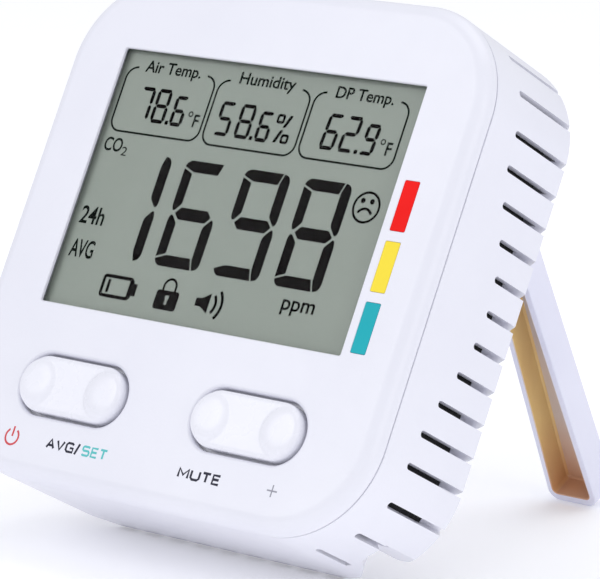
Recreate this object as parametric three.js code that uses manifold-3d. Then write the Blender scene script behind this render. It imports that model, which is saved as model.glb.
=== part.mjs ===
// A desktop carbon dioxide monitor that leans back on a folding stand.
// The monitor is designed upright: x to the right, y from the front face into the case, z up,
// with the origin in the middle of the front face. The finished assembly is then leaned back.
// All lengths are millimetres and all angles are radians.
import * as THREE from "three";
import { mergeVertices } from "three/addons/utils/BufferGeometryUtils.js";
import Module from "manifold-3d";

const wasm = await Module();
wasm.setup();

// ---------------------------------------------------------------- driving dimensions
const deg = Math.PI / 180;
const gap = 0.3;
// Further out than any face of the case, for tools that cut right through.
const beyond = 80;

const lean = 29 * deg;
const halfWidth = 61.8;
const halfHeight = 63;
const cornerRadius = 24;
const seamDepth = 4.6;
const caseDepth = 43;
const wall = 2.2;
const faceFillet = 3.6;

const plateThickness = 2;

const display = { halfX: 45, halfZ: 32.1, z: 11.2, lip: 0.8, lensY: 1.1, lens: 0.8, glassY: 2.2, glass: 2.6 };
// How far each piece of the display stack reaches past the opening.
const displayMargin = { glass: 0.9, holderSeat: 1.2, lens: 1.3, rebate: 1.6, holder: 2.6, holderWindow: -3 };
const contactStrip = { halfX: 36, halfZ: 1.1, lift: 1.5, slotHalfX: 38 };
const mark = { x: 49.5, halfX: 2.1, thickness: 0.4, height: 12, pitch: 14.4, top: 15 };

const key = { x: 26.3, z: -40.4, halfX: 16.3, halfZ: 7.6, proud: 1.1, clearance: 0.8, flange: 1.8 };
const keyPin = { y: 6, radius: 1, halfLength: 11.7 };
const keyLug = { z: 11.4, halfX: 2.6, halfZ: 1, behindPin: 2.4 };
const bump = { x: 10.6, radius: 5.6, foot: 1, rise: 0.7 };
const tactSwitch = { half: 3, front: 8.2, stemFront: 7.1, stem: 1 };

const board = { y: 9.6, thickness: 1.6, halfX: 56, halfZ: 57, cutX: 45 };
const chip = { halfX: 8, low: -18, high: -2, height: 1.9 };
const buzzerCan = { x: 36, z: 46, radius: 6, height: 7 };
const humidityBox = { left: -46, right: -41, low: 6, high: 16, height: 5 };
const gas = { x0: -27, x1: 27, y: 19.5, z: 17, half: 6, bore: 4, port: 3.4 };

// Posts on the cover take the screws, and sleeves in the housing lead the case screws to them.
const postRoot = 1.5;
const caseScrew = { x: 49, z: 50.5, tip: 8, seat: 20, shank: 1.1, head: 2.7 };
const casePost = { radius: 3.4, end: 14, bore: 1.4, boreFront: 6 };
const sleeve = { radius: 4.2, front: 14.6, well: 3.2, bore: 1.6, boreFront: 10 };
const boardScrew = { x: 52.5, z: 27, tip: 5.5, shank: 0.9, head: 2, hole: 1.5 };
const boardPost = { radius: 2.6, bore: 1.2, boreFront: 4 };

const slotPitch = 7.88;
const slotHeight = 1.6;
const slotEnd = { low: 31, high: 35.5, split: 19.7 };
const slotFront = 13.6;
const slotBulge = 11.1;
const slotLag = { from: 10, rate: 0.03 };
const bulgeHalfHeight = 40;
const shortSlotEnd = 27;
const cornerSlots = [24, 48, 73];
const notch = { overlap: 3, side: 6, corner: 4.5, toothWall: 4.8 };
const chamfer = { start: 36.6, inset: 6.2 };
const backWall = 2.6;
const rearRim = 1.5;
const screen = { thickness: 0.5, front: 12.4, rear: 30.5, cornerAngle: 62 * deg };
const soundHole = { radius: 0.9, pitch: 4, z: 54 };
const edgeNotch = { halfX: 2.65, front: 39.8, rear: 41.6, depth: 1.2 };
const inletPlace = { y: 24, z: -24, half: 4.7, length: 13, bore: 3.1, boreDepth: 10, skippedRow: -3 };

const stand = { x: 38, y: 38, z: 39.6, open: 54.1 * deg, thickness: 8.4, web: 1.8 };
const leg = { topHalf: 4.4, footHalf: 7.1, corner: 3, footWall: 2.4 };
const standRoom = { leg: 0.6, cross: 0.8, above: 2, below: 2.4 };
const axle = { radius: 1.5, length: 9, bore: 6, in: 44, out: 52.5 };
// The wall round each pocket in the back.
const liner = 1.8;

const cell = { radius: 7.1, length: 49.2, y: 33.1, pitch: 15.1, button: 2.7 };
const spring = { turns: 3, wire: 0.32, wide: 5, taper: 2, height: 2.2 };
const bay = { halfX: 23.6, top: -2.5, bottom: -59, front: 25.2 };
const contact = { halfX: 21, front: 28, rear: 38, thickness: 0.6 };
const door = { halfX: 25.4, top: -0.7, hingeZ: -59.8, thickness: 1.8, grip: 9, rib: 7, stiffener: 22 };

// ---------------------------------------------------------------- solids
function solid(geometry) {
  const bare = geometry.clone();
  bare.deleteAttribute("normal");
  bare.deleteAttribute("uv");
  const merged = mergeVertices(bare, 1e-4);
  return new wasm.Manifold(
    new wasm.Mesh({
      numProp: 3,
      vertProperties: new Float32Array(merged.attributes.position.array),
      triVerts: new Uint32Array(merged.index.array),
    }),
  );
}

function join(...solids) {
  return solids.reduce((sum, next) => sum.add(next));
}

function cut(base, ...tools) {
  return tools.reduce((rest, tool) => rest.subtract(tool), base);
}

function geometryOf(made) {
  const mesh = made.getMesh();
  const geometry = new THREE.BufferGeometry();
  geometry.setAttribute("position", new THREE.BufferAttribute(mesh.vertProperties, 3));
  geometry.setIndex(new THREE.BufferAttribute(mesh.triVerts, 1));
  geometry.computeVertexNormals();
  return geometry;
}

// A block from one corner to the other.
function block(x0, x1, y0, y1, z0, z1) {
  const box = new THREE.BoxGeometry(x1 - x0, y1 - y0, z1 - z0);
  return solid(box.translate((x0 + x1) / 2, (y0 + y1) / 2, (z0 + z1) / 2));
}

// A rounded rectangle in the plane of the front face.
function rounded(halfX, halfZ, radius, x = 0, z = 0) {
  const shape = new THREE.Shape();
  const r = Math.min(radius, halfX, halfZ);
  shape.absarc(x + halfX - r, z + halfZ - r, r, 0, Math.PI / 2);
  shape.absarc(x - halfX + r, z + halfZ - r, r, Math.PI / 2, Math.PI);
  shape.absarc(x - halfX + r, z - halfZ + r, r, Math.PI, 1.5 * Math.PI);
  shape.absarc(x + halfX - r, z - halfZ + r, r, 1.5 * Math.PI, 2 * Math.PI);
  shape.closePath();
  return shape;
}

// An outline drawn in x and z, made solid between two depths. A bevel rounds both of its rims.
function slab(shape, y0, y1, curveSegments = 6, bevel = 0, bevelSegments = 3) {
  const geometry = new THREE.ExtrudeGeometry(shape, {
    depth: y1 - y0 - 2 * bevel,
    curveSegments,
    bevelEnabled: bevel > 0,
    bevelThickness: bevel,
    bevelSize: bevel,
    bevelOffset: -bevel,
    bevelSegments,
  });
  return solid(geometry.rotateX(Math.PI / 2).translate(0, y1 - bevel, 0));
}

// A solid whose outline changes with depth.
// Each section is an outline at its y, and all have the same number of [x, z] points.
function loft(sections) {
  const count = sections[0].points.length;
  const last = (sections.length - 1) * count;
  const position = sections.flatMap(({ points, y }) => points.flatMap(([x, z]) => [x, y, z]));
  const index = [];
  for (let start = 0; start < last; start += count) {
    for (let i = 0; i < count; i++) {
      const next = (i + 1) % count;
      index.push(start + i, start + next, start + count + i);
      index.push(start + next, start + count + next, start + count + i);
    }
  }
  for (let i = 1; i + 1 < count; i++) {
    index.push(0, i + 1, i);
    index.push(last, last + i, last + i + 1);
  }
  const geometry = new THREE.BufferGeometry();
  geometry.setAttribute("position", new THREE.Float32BufferAttribute(position, 3));
  geometry.setIndex(index);
  const made = solid(geometry);
  return made.volume() > 0 ? made : solid(flipped(geometry));
}

// The points of a rounded rectangle, without the repeated one that closes it.
function roundedPoints(halfX, halfZ, radius, curveSegments = 6) {
  const points = rounded(halfX, halfZ, radius).getPoints(curveSegments).map((p) => [p.x, p.y]);
  const [first, end] = [points[0], points[points.length - 1]];
  if (Math.hypot(first[0] - end[0], first[1] - end[1]) < 1e-6) points.pop();
  return points;
}

// A round bar between two ends along one axis of the monitor.
function bar(axis, radius, from, to, at, sides = 16) {
  const geometry = new THREE.CylinderGeometry(radius, radius, to - from, sides);
  if (axis === "x") geometry.rotateZ(-Math.PI / 2).translate((from + to) / 2, at[0], at[1]);
  if (axis === "y") geometry.translate(0, (from + to) / 2, 0).translate(at[0], 0, at[1]);
  if (axis === "z") geometry.rotateX(Math.PI / 2).translate(at[0], at[1], (from + to) / 2);
  return solid(geometry);
}

// A tube along a curve.
function tube(curve, radius, steps, sides) {
  const circle = new THREE.Shape();
  circle.absarc(0, 0, radius, 0, 2 * Math.PI);
  const geometry = new THREE.ExtrudeGeometry(circle, { steps, curveSegments: sides, extrudePath: curve });
  return solid(geometry);
}

const monitor = new THREE.Group();

function add(parent, name, made, color, roughness, metalness = 0) {
  const material = new THREE.MeshStandardMaterial({ color, roughness, metalness });
  const mesh = new THREE.Mesh(geometryOf(made), material);
  mesh.name = name;
  parent.add(mesh);
  return mesh;
}

const white = "#eeeef6";
const steel = "#b9bcc2";
const both = [-1, 1];
const corners = [
  [-1, 1],
  [1, 1],
  [-1, -1],
  [1, -1],
];
const caseScrews = corners.map(([sx, sz]) => [sx * caseScrew.x, sz * caseScrew.z]);
const boardScrews = corners.map(([sx, sz]) => [sx * boardScrew.x, sz * boardScrew.z]);

// ---------------------------------------------------------------- front cover
function keyOutline(side, grow) {
  const halfZ = key.halfZ + grow;
  return rounded(key.halfX + grow, halfZ, halfZ, side * key.x, key.z);
}

// Coloured level marks beside the display, from red at the top to teal at the bottom.
function markOutline(row, shrink) {
  const z = mark.top - row * mark.pitch;
  return rounded(mark.halfX - shrink, mark.height / 2 - shrink, 0.4, mark.x, z);
}

// The display opening, moved outwards or inwards by a margin.
function displayOutline(margin, radius) {
  return rounded(display.halfX + margin, display.halfZ + margin, radius, 0, display.z);
}

function frontCover() {
  const outline = rounded(halfWidth, halfHeight, cornerRadius);
  const inner = rounded(halfWidth - wall, halfHeight - wall, cornerRadius - wall);
  const cover = cut(
    slab(outline, 0, 20, 6, faceFillet, 3),
    block(-beyond, beyond, seamDepth - gap, beyond, -beyond, beyond),
    slab(inner, plateThickness, beyond),
    slab(displayOutline(0, 0.4), -1, beyond, 2),
    slab(displayOutline(displayMargin.rebate, 0.6), display.lip, beyond, 2),
    ...both.map((side) => slab(keyOutline(side, 0), -1, beyond)),
    ...[0, 1, 2].map((row) => slab(markOutline(row, 0), -1, mark.thickness, 2)),
  );
  const posts = [
    ...caseScrews.map((at) => bar("y", casePost.radius, postRoot, casePost.end, at)),
    ...boardScrews.map((at) => bar("y", boardPost.radius, postRoot, board.y - gap, at)),
  ];
  const lugs = both.flatMap((side) =>
    both.map((end) => {
      const x = side * key.x;
      const z = key.z + end * keyLug.z;
      const rear = keyPin.y + keyLug.behindPin;
      return block(x - keyLug.halfX, x + keyLug.halfX, postRoot, rear, z - keyLug.halfZ, z + keyLug.halfZ);
    }),
  );
  const screwHoles = [
    ...caseScrews.map((at) => bar("y", casePost.bore, casePost.boreFront, beyond, at, 10)),
    ...boardScrews.map((at) => bar("y", boardPost.bore, boardPost.boreFront, beyond, at, 10)),
  ];
  const pinHoles = both.map((side) =>
    bar("z", keyPin.radius + gap, key.z - keyLug.z - 0.6, key.z + keyLug.z + 0.6, [side * key.x, keyPin.y], 12),
  );
  return cut(join(cover, ...posts, ...lugs), ...screwHoles, ...pinHoles);
}

// ---------------------------------------------------------------- rear housing
// How far back a side slot starts: a smooth bulge keeps the middle slots short,
// and the top ones start a little later.
function slotStart(z) {
  const share = Math.min(Math.abs(z) / bulgeHalfHeight, 1);
  const lag = slotLag.rate * Math.max(z - slotLag.from, 0);
  return slotFront + lag + slotBulge * Math.cos((share * Math.PI) / 2) ** 2;
}

function slotRear(z) {
  return z > slotEnd.split ? slotEnd.high : slotEnd.low;
}

// A slot tool: it runs back from a round tip, right through the wall and then along its rear corner.
function slotTool(start, depth, rear, sides = 4) {
  const half = slotHeight / 2;
  const outline = new THREE.Shape();
  outline.moveTo(rear, half);
  outline.lineTo(start + half, half);
  outline.absarc(start + half, 0, half, Math.PI / 2, 1.5 * Math.PI);
  outline.lineTo(rear, -half);
  outline.closePath();
  const outside = 6;
  const settings = { depth: depth + outside, curveSegments: sides, bevelEnabled: false };
  const geometry = new THREE.ExtrudeGeometry(outline, settings);
  // The outline's first axis becomes depth into the case, and its second stays up.
  const turn = new THREE.Matrix4().makeBasis(
    new THREE.Vector3(0, 1, 0),
    new THREE.Vector3(0, 0, 1),
    new THREE.Vector3(1, 0, 0),
  );
  return geometry.applyMatrix4(turn).translate(-depth, 0, 0);
}

// The slots of one side's straight column. Each is cut through the wall, and a notch carries it on to the back.
function sideSlots(side) {
  const tools = [];
  for (let row = -5; row <= 5; row++) {
    if (side < 0 && row === inletPlace.skippedRow) continue;
    const z = row * slotPitch;
    tools.push(
      slotTool(slotStart(z), wall + 1, slotRear(z)).translate(halfWidth, 0, z),
      slotTool(slotRear(z) - notch.overlap, notch.side, caseDepth + 2).translate(halfWidth, 0, z),
    );
  }
  return tools;
}

// The slots round one corner. At the bottom they run out into the finger scoop, and the last one stays short.
function cornerSlotTools(end) {
  const cornerX = halfWidth - cornerRadius;
  const cornerZ = end * (halfHeight - cornerRadius);
  const rear = slotRear(cornerZ);
  return cornerSlots.flatMap((angle, i) => {
    const notched = i === 0 || (i === 1 && end > 0);
    const tools = [slotTool(slotFront + 0.4, wall + 1, notched ? rear : shortSlotEnd)];
    if (notched) tools.push(slotTool(rear - notch.overlap, notch.corner, caseDepth + 2));
    return tools.map((tool) =>
      tool.translate(cornerRadius, 0, 0).rotateY(-end * angle * deg).translate(cornerX, 0, cornerZ),
    );
  });
}

function ventTools() {
  return both.flatMap((side) =>
    [...sideSlots(side), ...cornerSlotTools(-1), ...cornerSlotTools(1)].map((geometry) => {
      if (side > 0) return solid(geometry);
      return solid(flipped(geometry.scale(-1, 1, 1)));
    }),
  );
}

// The same surface with its faces turned the other way.
function flipped(geometry) {
  const plain = geometry.index ? geometry.toNonIndexed() : geometry.clone();
  const array = plain.attributes.position.array;
  for (let i = 0; i < array.length; i += 9) {
    for (let k = 0; k < 3; k++) {
      const held = array[i + 3 + k];
      array[i + 3 + k] = array[i + 6 + k];
      array[i + 6 + k] = held;
    }
  }
  return plain;
}

// The recess in the back that holds one folded leg, grown by a wall to make the pocket inside.
function legPocket(side, grow) {
  const x = side * stand.x;
  const half = leg.footHalf + standRoom.leg + grow;
  const front = stand.y - stand.thickness / 2 - standRoom.leg - grow;
  const bottom = -halfHeight + (grow ? 1 : standRoom.below);
  return block(x - half, x + half, front, beyond, bottom, stand.z + standRoom.above);
}

function crossPocket(grow) {
  const reach = stand.x + leg.footHalf + standRoom.leg + grow;
  const half = stand.thickness / 2 + standRoom.cross + grow;
  return block(-reach, reach, stand.y - half, beyond, stand.z - half, stand.z + half);
}

// The outside of the rear housing: its sides turn in towards the back, and its rear rim is round.
function housingBody() {
  const straight = caseDepth - rearRim;
  const turnedIn = (y) => (chamfer.inset * Math.max(y - chamfer.start, 0)) / (caseDepth - chamfer.start);
  const sections = [
    [seamDepth, 0],
    [chamfer.start, 0],
    [straight, 0],
    [straight + rearRim * Math.sin(30 * deg), rearRim * (1 - Math.cos(30 * deg))],
    [straight + rearRim * Math.sin(60 * deg), rearRim * (1 - Math.cos(60 * deg))],
    [caseDepth, rearRim],
  ];
  return loft(
    sections.map(([y, rim]) => ({
      points: roundedPoints(halfWidth - turnedIn(y) - rim, halfHeight - rim, cornerRadius - rim),
      y,
    })),
  );
}

// A finger scoop in a lower corner, at the foot of the folded leg. Seen from below its edge is a large round.
const scoop = {
  top: -56,
  edge: [
    [52.5, 24.8],
    [50.4, 25.1],
    [48.6, 26.3],
    [46.6, 29.6],
    [44.2, 33.6],
    [41.8, 36.6],
    [39, 39],
    [35.2, 41.3],
    [30, 43.4],
  ],
};
function fingerScoop(side, grow) {
  const edge = scoop.edge.map(([x, y]) => new THREE.Vector2(side * (x - grow), y - grow));
  const outline = new THREE.Shape([
    new THREE.Vector2(side * beyond, edge[0].y),
    ...edge,
    new THREE.Vector2(edge[edge.length - 1].x, beyond),
    new THREE.Vector2(side * beyond, beyond),
  ]);
  const depth = 20;
  const geometry = new THREE.ExtrudeGeometry(outline, { depth, bevelEnabled: false });
  return solid(geometry.translate(0, 0, scoop.top + grow - depth));
}

// A block that reaches from one place out past a side.
function outwards(side, x, y0, z0, z1) {
  const [left, right] = side < 0 ? [-beyond, -x] : [x, beyond];
  return block(left, right, y0, beyond, z0, z1);
}

// The hollow of the housing, open at the seam.
// It leaves material round the stand's recess, the cells, the corner teeth and the scoops.
function housingHollow() {
  const inner = rounded(halfWidth - wall, halfHeight - wall, cornerRadius - wall);
  const teethX = halfWidth - notch.side - notch.toothWall;
  const bayX = bay.halfX + liner;
  return cut(
    slab(inner, 0, caseDepth - backWall),
    crossPocket(liner),
    block(-bayX, bayX, bay.front - liner, beyond, bay.bottom - liner, bay.top + liner),
    ...both.flatMap((side) => [
      legPocket(side, liner),
      fingerScoop(side, wall),
      outwards(side, teethX, slotEnd.low, -beyond, slotEnd.split),
      outwards(side, teethX, slotEnd.high, slotEnd.split, beyond),
    ]),
    ...caseScrews.map((at) => bar("y", sleeve.radius, sleeve.front, beyond, at)),
  );
}

function doorTools() {
  const ledgeX = door.halfX + gap;
  const ledgeY = caseDepth - door.thickness - gap;
  const ledgeZ = door.hingeZ - door.thickness / 2 - gap;
  return [
    block(-bay.halfX, bay.halfX, bay.front, beyond, bay.bottom, bay.top),
    block(-ledgeX, ledgeX, ledgeY, beyond, ledgeZ, door.top + gap),
    bar("y", 5, caseDepth - 1.6, beyond, [0, door.top + 1.5], 16),
  ];
}

function edgeNotches() {
  const tools = [];
  for (let i = -5; i <= 4; i++) {
    const [left, right] = [i * slotPitch - edgeNotch.halfX, i * slotPitch + edgeNotch.halfX];
    tools.push(block(left, right, edgeNotch.front, edgeNotch.rear, -beyond, -halfHeight + edgeNotch.depth));
  }
  return tools;
}

// Room for the power inlet, grown on every side of its square face.
function inletRoom(x0, x1, y1, grow) {
  const half = inletPlace.half + grow;
  return block(x0, x1, inletPlace.y - half, y1, inletPlace.z - half, inletPlace.z + half);
}

function rearHousing() {
  const soundHoles = [-2, -1, 0, 1, 2].map((i) =>
    bar("y", soundHole.radius, 30, beyond, [i * soundHole.pitch, soundHole.z], 8),
  );
  const pivots = [-axle.out, axle.in].map((x) =>
    bar("x", axle.radius + gap, x, x + axle.out - axle.in, [stand.y, stand.z]),
  );
  return cut(
    housingBody(),
    housingHollow(),
    ...doorTools(),
    crossPocket(0),
    ...both.flatMap((side) => [legPocket(side, 0), fingerScoop(side, 0)]),
    ...edgeNotches(),
    ...caseScrews.map((at) => bar("y", sleeve.well, caseScrew.seat, beyond, at)),
    ...caseScrews.map((at) => bar("y", sleeve.bore, sleeve.boreFront, beyond, at, 12)),
    ...soundHoles,
    inletRoom(-halfWidth - 2, -halfWidth + 5, inletPlace.y + inletPlace.half + gap, gap),
    ...pivots,
    ...ventTools(),
  );
}

// A thin dust screen behind the vents of one side. It bends round both corners and leaves room for the inlet.
function ventScreen(side) {
  const off = wall + gap;
  const outline = (inset) => rounded(halfWidth - inset, halfHeight - inset, cornerRadius - inset);
  const reach = halfWidth - cornerRadius + (cornerRadius - off) * Math.cos(screen.cornerAngle);
  const [left, right] = side < 0 ? [-reach, beyond] : [-beyond, reach];
  const made = cut(
    slab(outline(off), screen.front, screen.rear, 8),
    slab(outline(off + screen.thickness), 0, beyond, 8),
    block(left, right, 0, beyond, -beyond, beyond),
    fingerScoop(side, off),
  );
  return side < 0 ? cut(made, inletRoom(-beyond, 0, beyond, 1)) : made;
}

add(monitor, "front_cover", frontCover(), white, 0.3);
const housingMesh = add(monitor, "rear_housing", rearHousing(), white, 0.35);
add(monitor, "vent_screen_left", ventScreen(-1), "#151517", 0.9);
add(monitor, "vent_screen_right", ventScreen(1), "#151517", 0.9);

// ---------------------------------------------------------------- display stack
const lens = slab(displayOutline(displayMargin.lens, 0.5), display.lensY, display.lensY + display.lens, 2);
add(monitor, "display_window", lens, "#dfe6e2", 0.05);

const glassEnd = display.glassY + display.glass;
const glass = slab(displayOutline(displayMargin.glass, 0.5), display.glassY, glassEnd, 2);
add(monitor, "lcd_panel", glass, "#8f968d", 0.25);

const displayFoot = display.z - display.halfZ;
const holder = cut(
  slab(displayOutline(displayMargin.holder, 2), display.glassY + 0.4, board.y - gap, 3),
  slab(displayOutline(displayMargin.holderSeat, 0.6), 0, glassEnd + gap, 2),
  slab(displayOutline(displayMargin.holderWindow, 1), 0, beyond, 2),
  block(-contactStrip.slotHalfX, contactStrip.slotHalfX, glassEnd, beyond, displayFoot - 1, displayFoot + 4),
);
add(monitor, "lcd_holder", holder, "#d9dadd", 0.5);

const stripZ = displayFoot + contactStrip.lift;
const strip = block(
  -contactStrip.halfX,
  contactStrip.halfX,
  glassEnd + gap,
  board.y - gap,
  stripZ - contactStrip.halfZ,
  stripZ + contactStrip.halfZ,
);
add(monitor, "lcd_contact_strip", strip, "#3b3b40", 0.8);

const markColours = { mark_red: "#e01818", mark_yellow: "#f6dd3a", mark_teal: "#35aab4" };
Object.entries(markColours).forEach(([name, colour], row) => {
  add(monitor, name, slab(markOutline(row, 0.1), 0.05, mark.thickness - 0.05, 2), colour, 0.4);
});

// ---------------------------------------------------------------- keys
// A rocker cap with two finger bumps. It turns about a pin behind its middle.
function rockerKey() {
  const halfX = key.halfX - key.clearance;
  const halfZ = key.halfZ - key.clearance;
  const cap = slab(rounded(halfX, halfZ, halfZ), -key.proud, 2.6, 4, 0.6, 1);
  const flange = slab(rounded(halfX + key.flange, halfZ + key.flange, halfZ + key.flange), 3, 4, 4);
  const neck = slab(rounded(halfX - 1, halfZ - 1, halfZ - 1), 2, 4, 4);
  const bumps = both.map((end) => {
    const profile = [new THREE.Vector2(0, 0)];
    for (let i = 0; i <= 4; i++) {
      const angle = (i / 4) * 90 * deg;
      profile.push(new THREE.Vector2(bump.radius * Math.cos(angle), bump.foot + bump.rise * Math.sin(angle)));
    }
    profile[profile.length - 1].x = 0;
    const dome = new THREE.LatheGeometry(profile, 14).rotateX(Math.PI);
    return solid(dome.translate(end * bump.x, -key.proud + bump.foot, 0));
  });
  const boss = block(-2.4, 2.4, 3.5, keyPin.y + 2.3, -9, 9);
  const pushers = both.map((end) => block(end * bump.x - 1.2, end * bump.x + 1.2, 3.5, 6.4, -1.2, 1.2));
  const bore = bar("z", keyPin.radius + gap, -12, 12, [0, keyPin.y], 12);
  return cut(join(cap, neck, flange, boss, ...pushers, ...bumps), bore);
}

const switchNames = { left: ["switch_power", "switch_set"], right: ["switch_mute", "switch_plus"] };
for (const side of both) {
  const word = side < 0 ? "left" : "right";
  const group = new THREE.Group();
  group.position.set(side * key.x, 0, key.z);
  add(group, word + "_key", rockerKey(), "#f5f5fb", 0.25);
  const pin = bar("z", keyPin.radius, -keyPin.halfLength, keyPin.halfLength, [0, keyPin.y], 12);
  add(group, word + "_key_pin", pin, steel, 0.3, 1);
  both.forEach((end, i) => {
    const x = end * bump.x;
    const { half, front, stemFront } = tactSwitch;
    const stem = bar("y", tactSwitch.stem, stemFront, front + 0.2, [x, 0], 12);
    const can = block(x - half, x + half, front, board.y - gap, -half, half);
    add(group, switchNames[word][i], join(can, stem), "#2c2c30", 0.5);
  });
  monitor.add(group);
}

// ---------------------------------------------------------------- electronics
const boardEnd = board.y + board.thickness;
const cornerCuts = caseScrews.flatMap(([x, z]) => {
  const [low, high] = z < 0 ? [-beyond, z] : [z, beyond];
  return [bar("y", sleeve.radius, 0, beyond, [x, z]), outwards(Math.sign(x), board.cutX, 0, low, high)];
});
const screwHoles = boardScrews.map((at) => bar("y", boardScrew.hole, 0, beyond, at, 12));
const boardBlank = slab(rounded(board.halfX, board.halfZ, 10), board.y, boardEnd, 4);
add(monitor, "main_board", cut(boardBlank, ...cornerCuts, ...screwHoles), "#1f6b45", 0.5);

const onBoard = boardEnd + gap;
const chipBody = block(-chip.halfX, chip.halfX, onBoard, boardEnd + chip.height, chip.low, chip.high);
add(monitor, "controller_chip", chipBody, "#26262a", 0.5);

const buzzerAt = [buzzerCan.x, buzzerCan.z];
const buzzerBody = bar("y", buzzerCan.radius, onBoard, boardEnd + buzzerCan.height, buzzerAt, 20);
add(monitor, "buzzer", buzzerBody, "#202024", 0.45);

const { left, right, low, high, height } = humidityBox;
add(monitor, "humidity_sensor", block(left, right, onBoard, boardEnd + height, low, high), "#f2f2f2", 0.5);

// The infrared gas cell: a bright tube with a lamp at one end, a detector at the other
// and an inlet filter on top.
const gasAxis = [gas.y, gas.z];
const gasBody = cut(
  slab(rounded(gas.x1, gas.half, 2, 0, gas.z), gas.y - gas.half, gas.y + gas.half, 3),
  bar("x", gas.bore, gas.x0 + 5, gas.x1 + 13, gasAxis, 16),
  bar("y", gas.port, gas.y, beyond, [0, gas.z], 16),
);
const gasLamp = bar("x", 2.2, gas.x1 - 9, gas.x1 + 3, gasAxis, 14);
const detector = join(
  bar("x", 5.4, gas.x0 - 4.5, gas.x0 - gap, gasAxis, 16),
  block(gas.x0 - 6, gas.x0 - 4, gas.y - 4, gas.y + 4, gas.z - 4, gas.z + 4),
);
const filter = bar("y", gas.port - 0.4, gas.y + gas.bore + 0.4, gas.y + gas.half + 0.8, [0, gas.z], 16);
add(monitor, "gas_cell", gasBody, "#c9a23f", 0.3, 1);
add(monitor, "gas_cell_lamp", gasLamp, "#e8e4d8", 0.2);
add(monitor, "gas_detector", detector, steel, 0.3, 1);
add(monitor, "gas_inlet_filter", filter, "#f4f4f4", 0.9);

// The power inlet looks out through the left side.
const inletAt = [inletPlace.y, inletPlace.z];
const inlet = cut(
  inletRoom(-halfWidth + 0.4, -halfWidth + inletPlace.length, inletPlace.y + inletPlace.half, 0),
  bar("x", inletPlace.bore, -halfWidth - 1, -halfWidth + inletPlace.boreDepth, inletAt, 16),
);
const inletPin = bar("x", 1, -halfWidth + 2, -halfWidth + inletPlace.boreDepth - gap, inletAt, 10);
add(monitor, "power_inlet", inlet, "#232326", 0.5);
add(monitor, "inlet_pin", inletPin, steel, 0.3, 1);

// ---------------------------------------------------------------- fasteners
// A screw lies along y with its head at the rear and a cross recess in the head.
function screw([x, z], tip, head, shank, headRadius) {
  const long = 0.525 * headRadius;
  const thin = 0.35 * headRadius / 3;
  const floor = head + 0.7;
  return cut(
    join(bar("y", shank, tip, head, [x, z], 10), bar("y", headRadius, head - 0.01, head + 1.4, [x, z], 14)),
    block(x - long, x + long, floor, beyond, z - thin, z + thin),
    block(x - thin, x + thin, floor, beyond, z - long, z + long),
  );
}
caseScrews.forEach((at, i) => {
  const { tip, seat, shank, head } = caseScrew;
  add(monitor, "case_screw_" + (i + 1), screw(at, tip, seat + gap, shank, head), steel, 0.3, 1);
});
boardScrews.forEach((at, i) => {
  const { tip, shank, head } = boardScrew;
  add(monitor, "board_screw_" + (i + 1), screw(at, tip, boardEnd + gap, shank, head), steel, 0.3, 1);
});

// ---------------------------------------------------------------- cells, contacts and door
const bright = "#c9ccd2";
const cellBottom = bay.bottom + 4;
const cellTop = cellBottom + cell.length;

function cellBody(x) {
  return join(
    bar("z", cell.radius, cellBottom, cellTop, [x, cell.y], 20),
    bar("z", cell.button, cellTop - 0.5, cellTop + 1, [x, cell.y], 12),
  );
}

// A spring under a cell: its turns grow narrower towards the cell.
function cellSpring(x) {
  const steps = spring.turns * 10;
  const points = [];
  for (let k = 0; k <= steps; k++) {
    const angle = (k / 10) * 2 * Math.PI;
    const radius = spring.wide - (spring.taper * k) / steps;
    const z = bay.bottom + 0.9 + (spring.height * k) / steps;
    points.push(new THREE.Vector3(x + radius * Math.cos(angle), cell.y + radius * Math.sin(angle), z));
  }
  return tube(new THREE.CatmullRomCurve3(points), spring.wire, 26, 2);
}

for (let i = 0; i < 3; i++) {
  const x = (i - 1) * cell.pitch;
  add(monitor, "cell_" + (i + 1), cellBody(x), "#4d5a63", 0.35, 0.6);
  add(monitor, "cell_spring_" + (i + 1), cellSpring(x), bright, 0.25, 1);
}
const contactTop = bay.top - gap;
const contactLow = contactTop - contact.thickness;
const contactPlate = block(-contact.halfX, contact.halfX, contact.front, contact.rear, contactLow, contactTop);
add(monitor, "cell_contact_plate", contactPlate, bright, 0.25, 1);

// The door swings down about its round lower edge.
function batteryDoor() {
  const middle = caseDepth - door.thickness / 2;
  const plate = block(-door.halfX, door.halfX, caseDepth - door.thickness, caseDepth, door.hingeZ, door.top);
  const edge = bar("x", door.thickness / 2, -door.halfX, door.halfX, [middle, door.hingeZ], 16);
  const ribs = [-2, -1, 0, 1, 2].map((i) => {
    const z = door.top - door.grip + i * 2;
    return block(-door.rib, door.rib, caseDepth - 0.5, caseDepth + 0.5, z - 0.5, z + 0.5);
  });
  const stiffeners = both.map((side) => {
    const x = side * door.stiffener;
    return block(x - 0.6, x + 0.6, caseDepth - 3.4, caseDepth - 1, door.hingeZ + 6, door.top - 6);
  });
  return join(plate, edge, ...ribs, ...stiffeners);
}
add(monitor, "battery_door", batteryDoor(), white, 0.35);

// ---------------------------------------------------------------- folding stand
// The table plane in the upright design frame: points with  -y sin(lean) + z cos(lean) = tableLevel.
function tableLevel() {
  const position = housingMesh.geometry.attributes.position;
  let lowest = Infinity;
  for (let i = 0; i < position.count; i++) {
    const height = position.getZ(i) * Math.cos(lean) - position.getY(i) * Math.sin(lean);
    lowest = Math.min(lowest, height);
  }
  return lowest;
}

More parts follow.
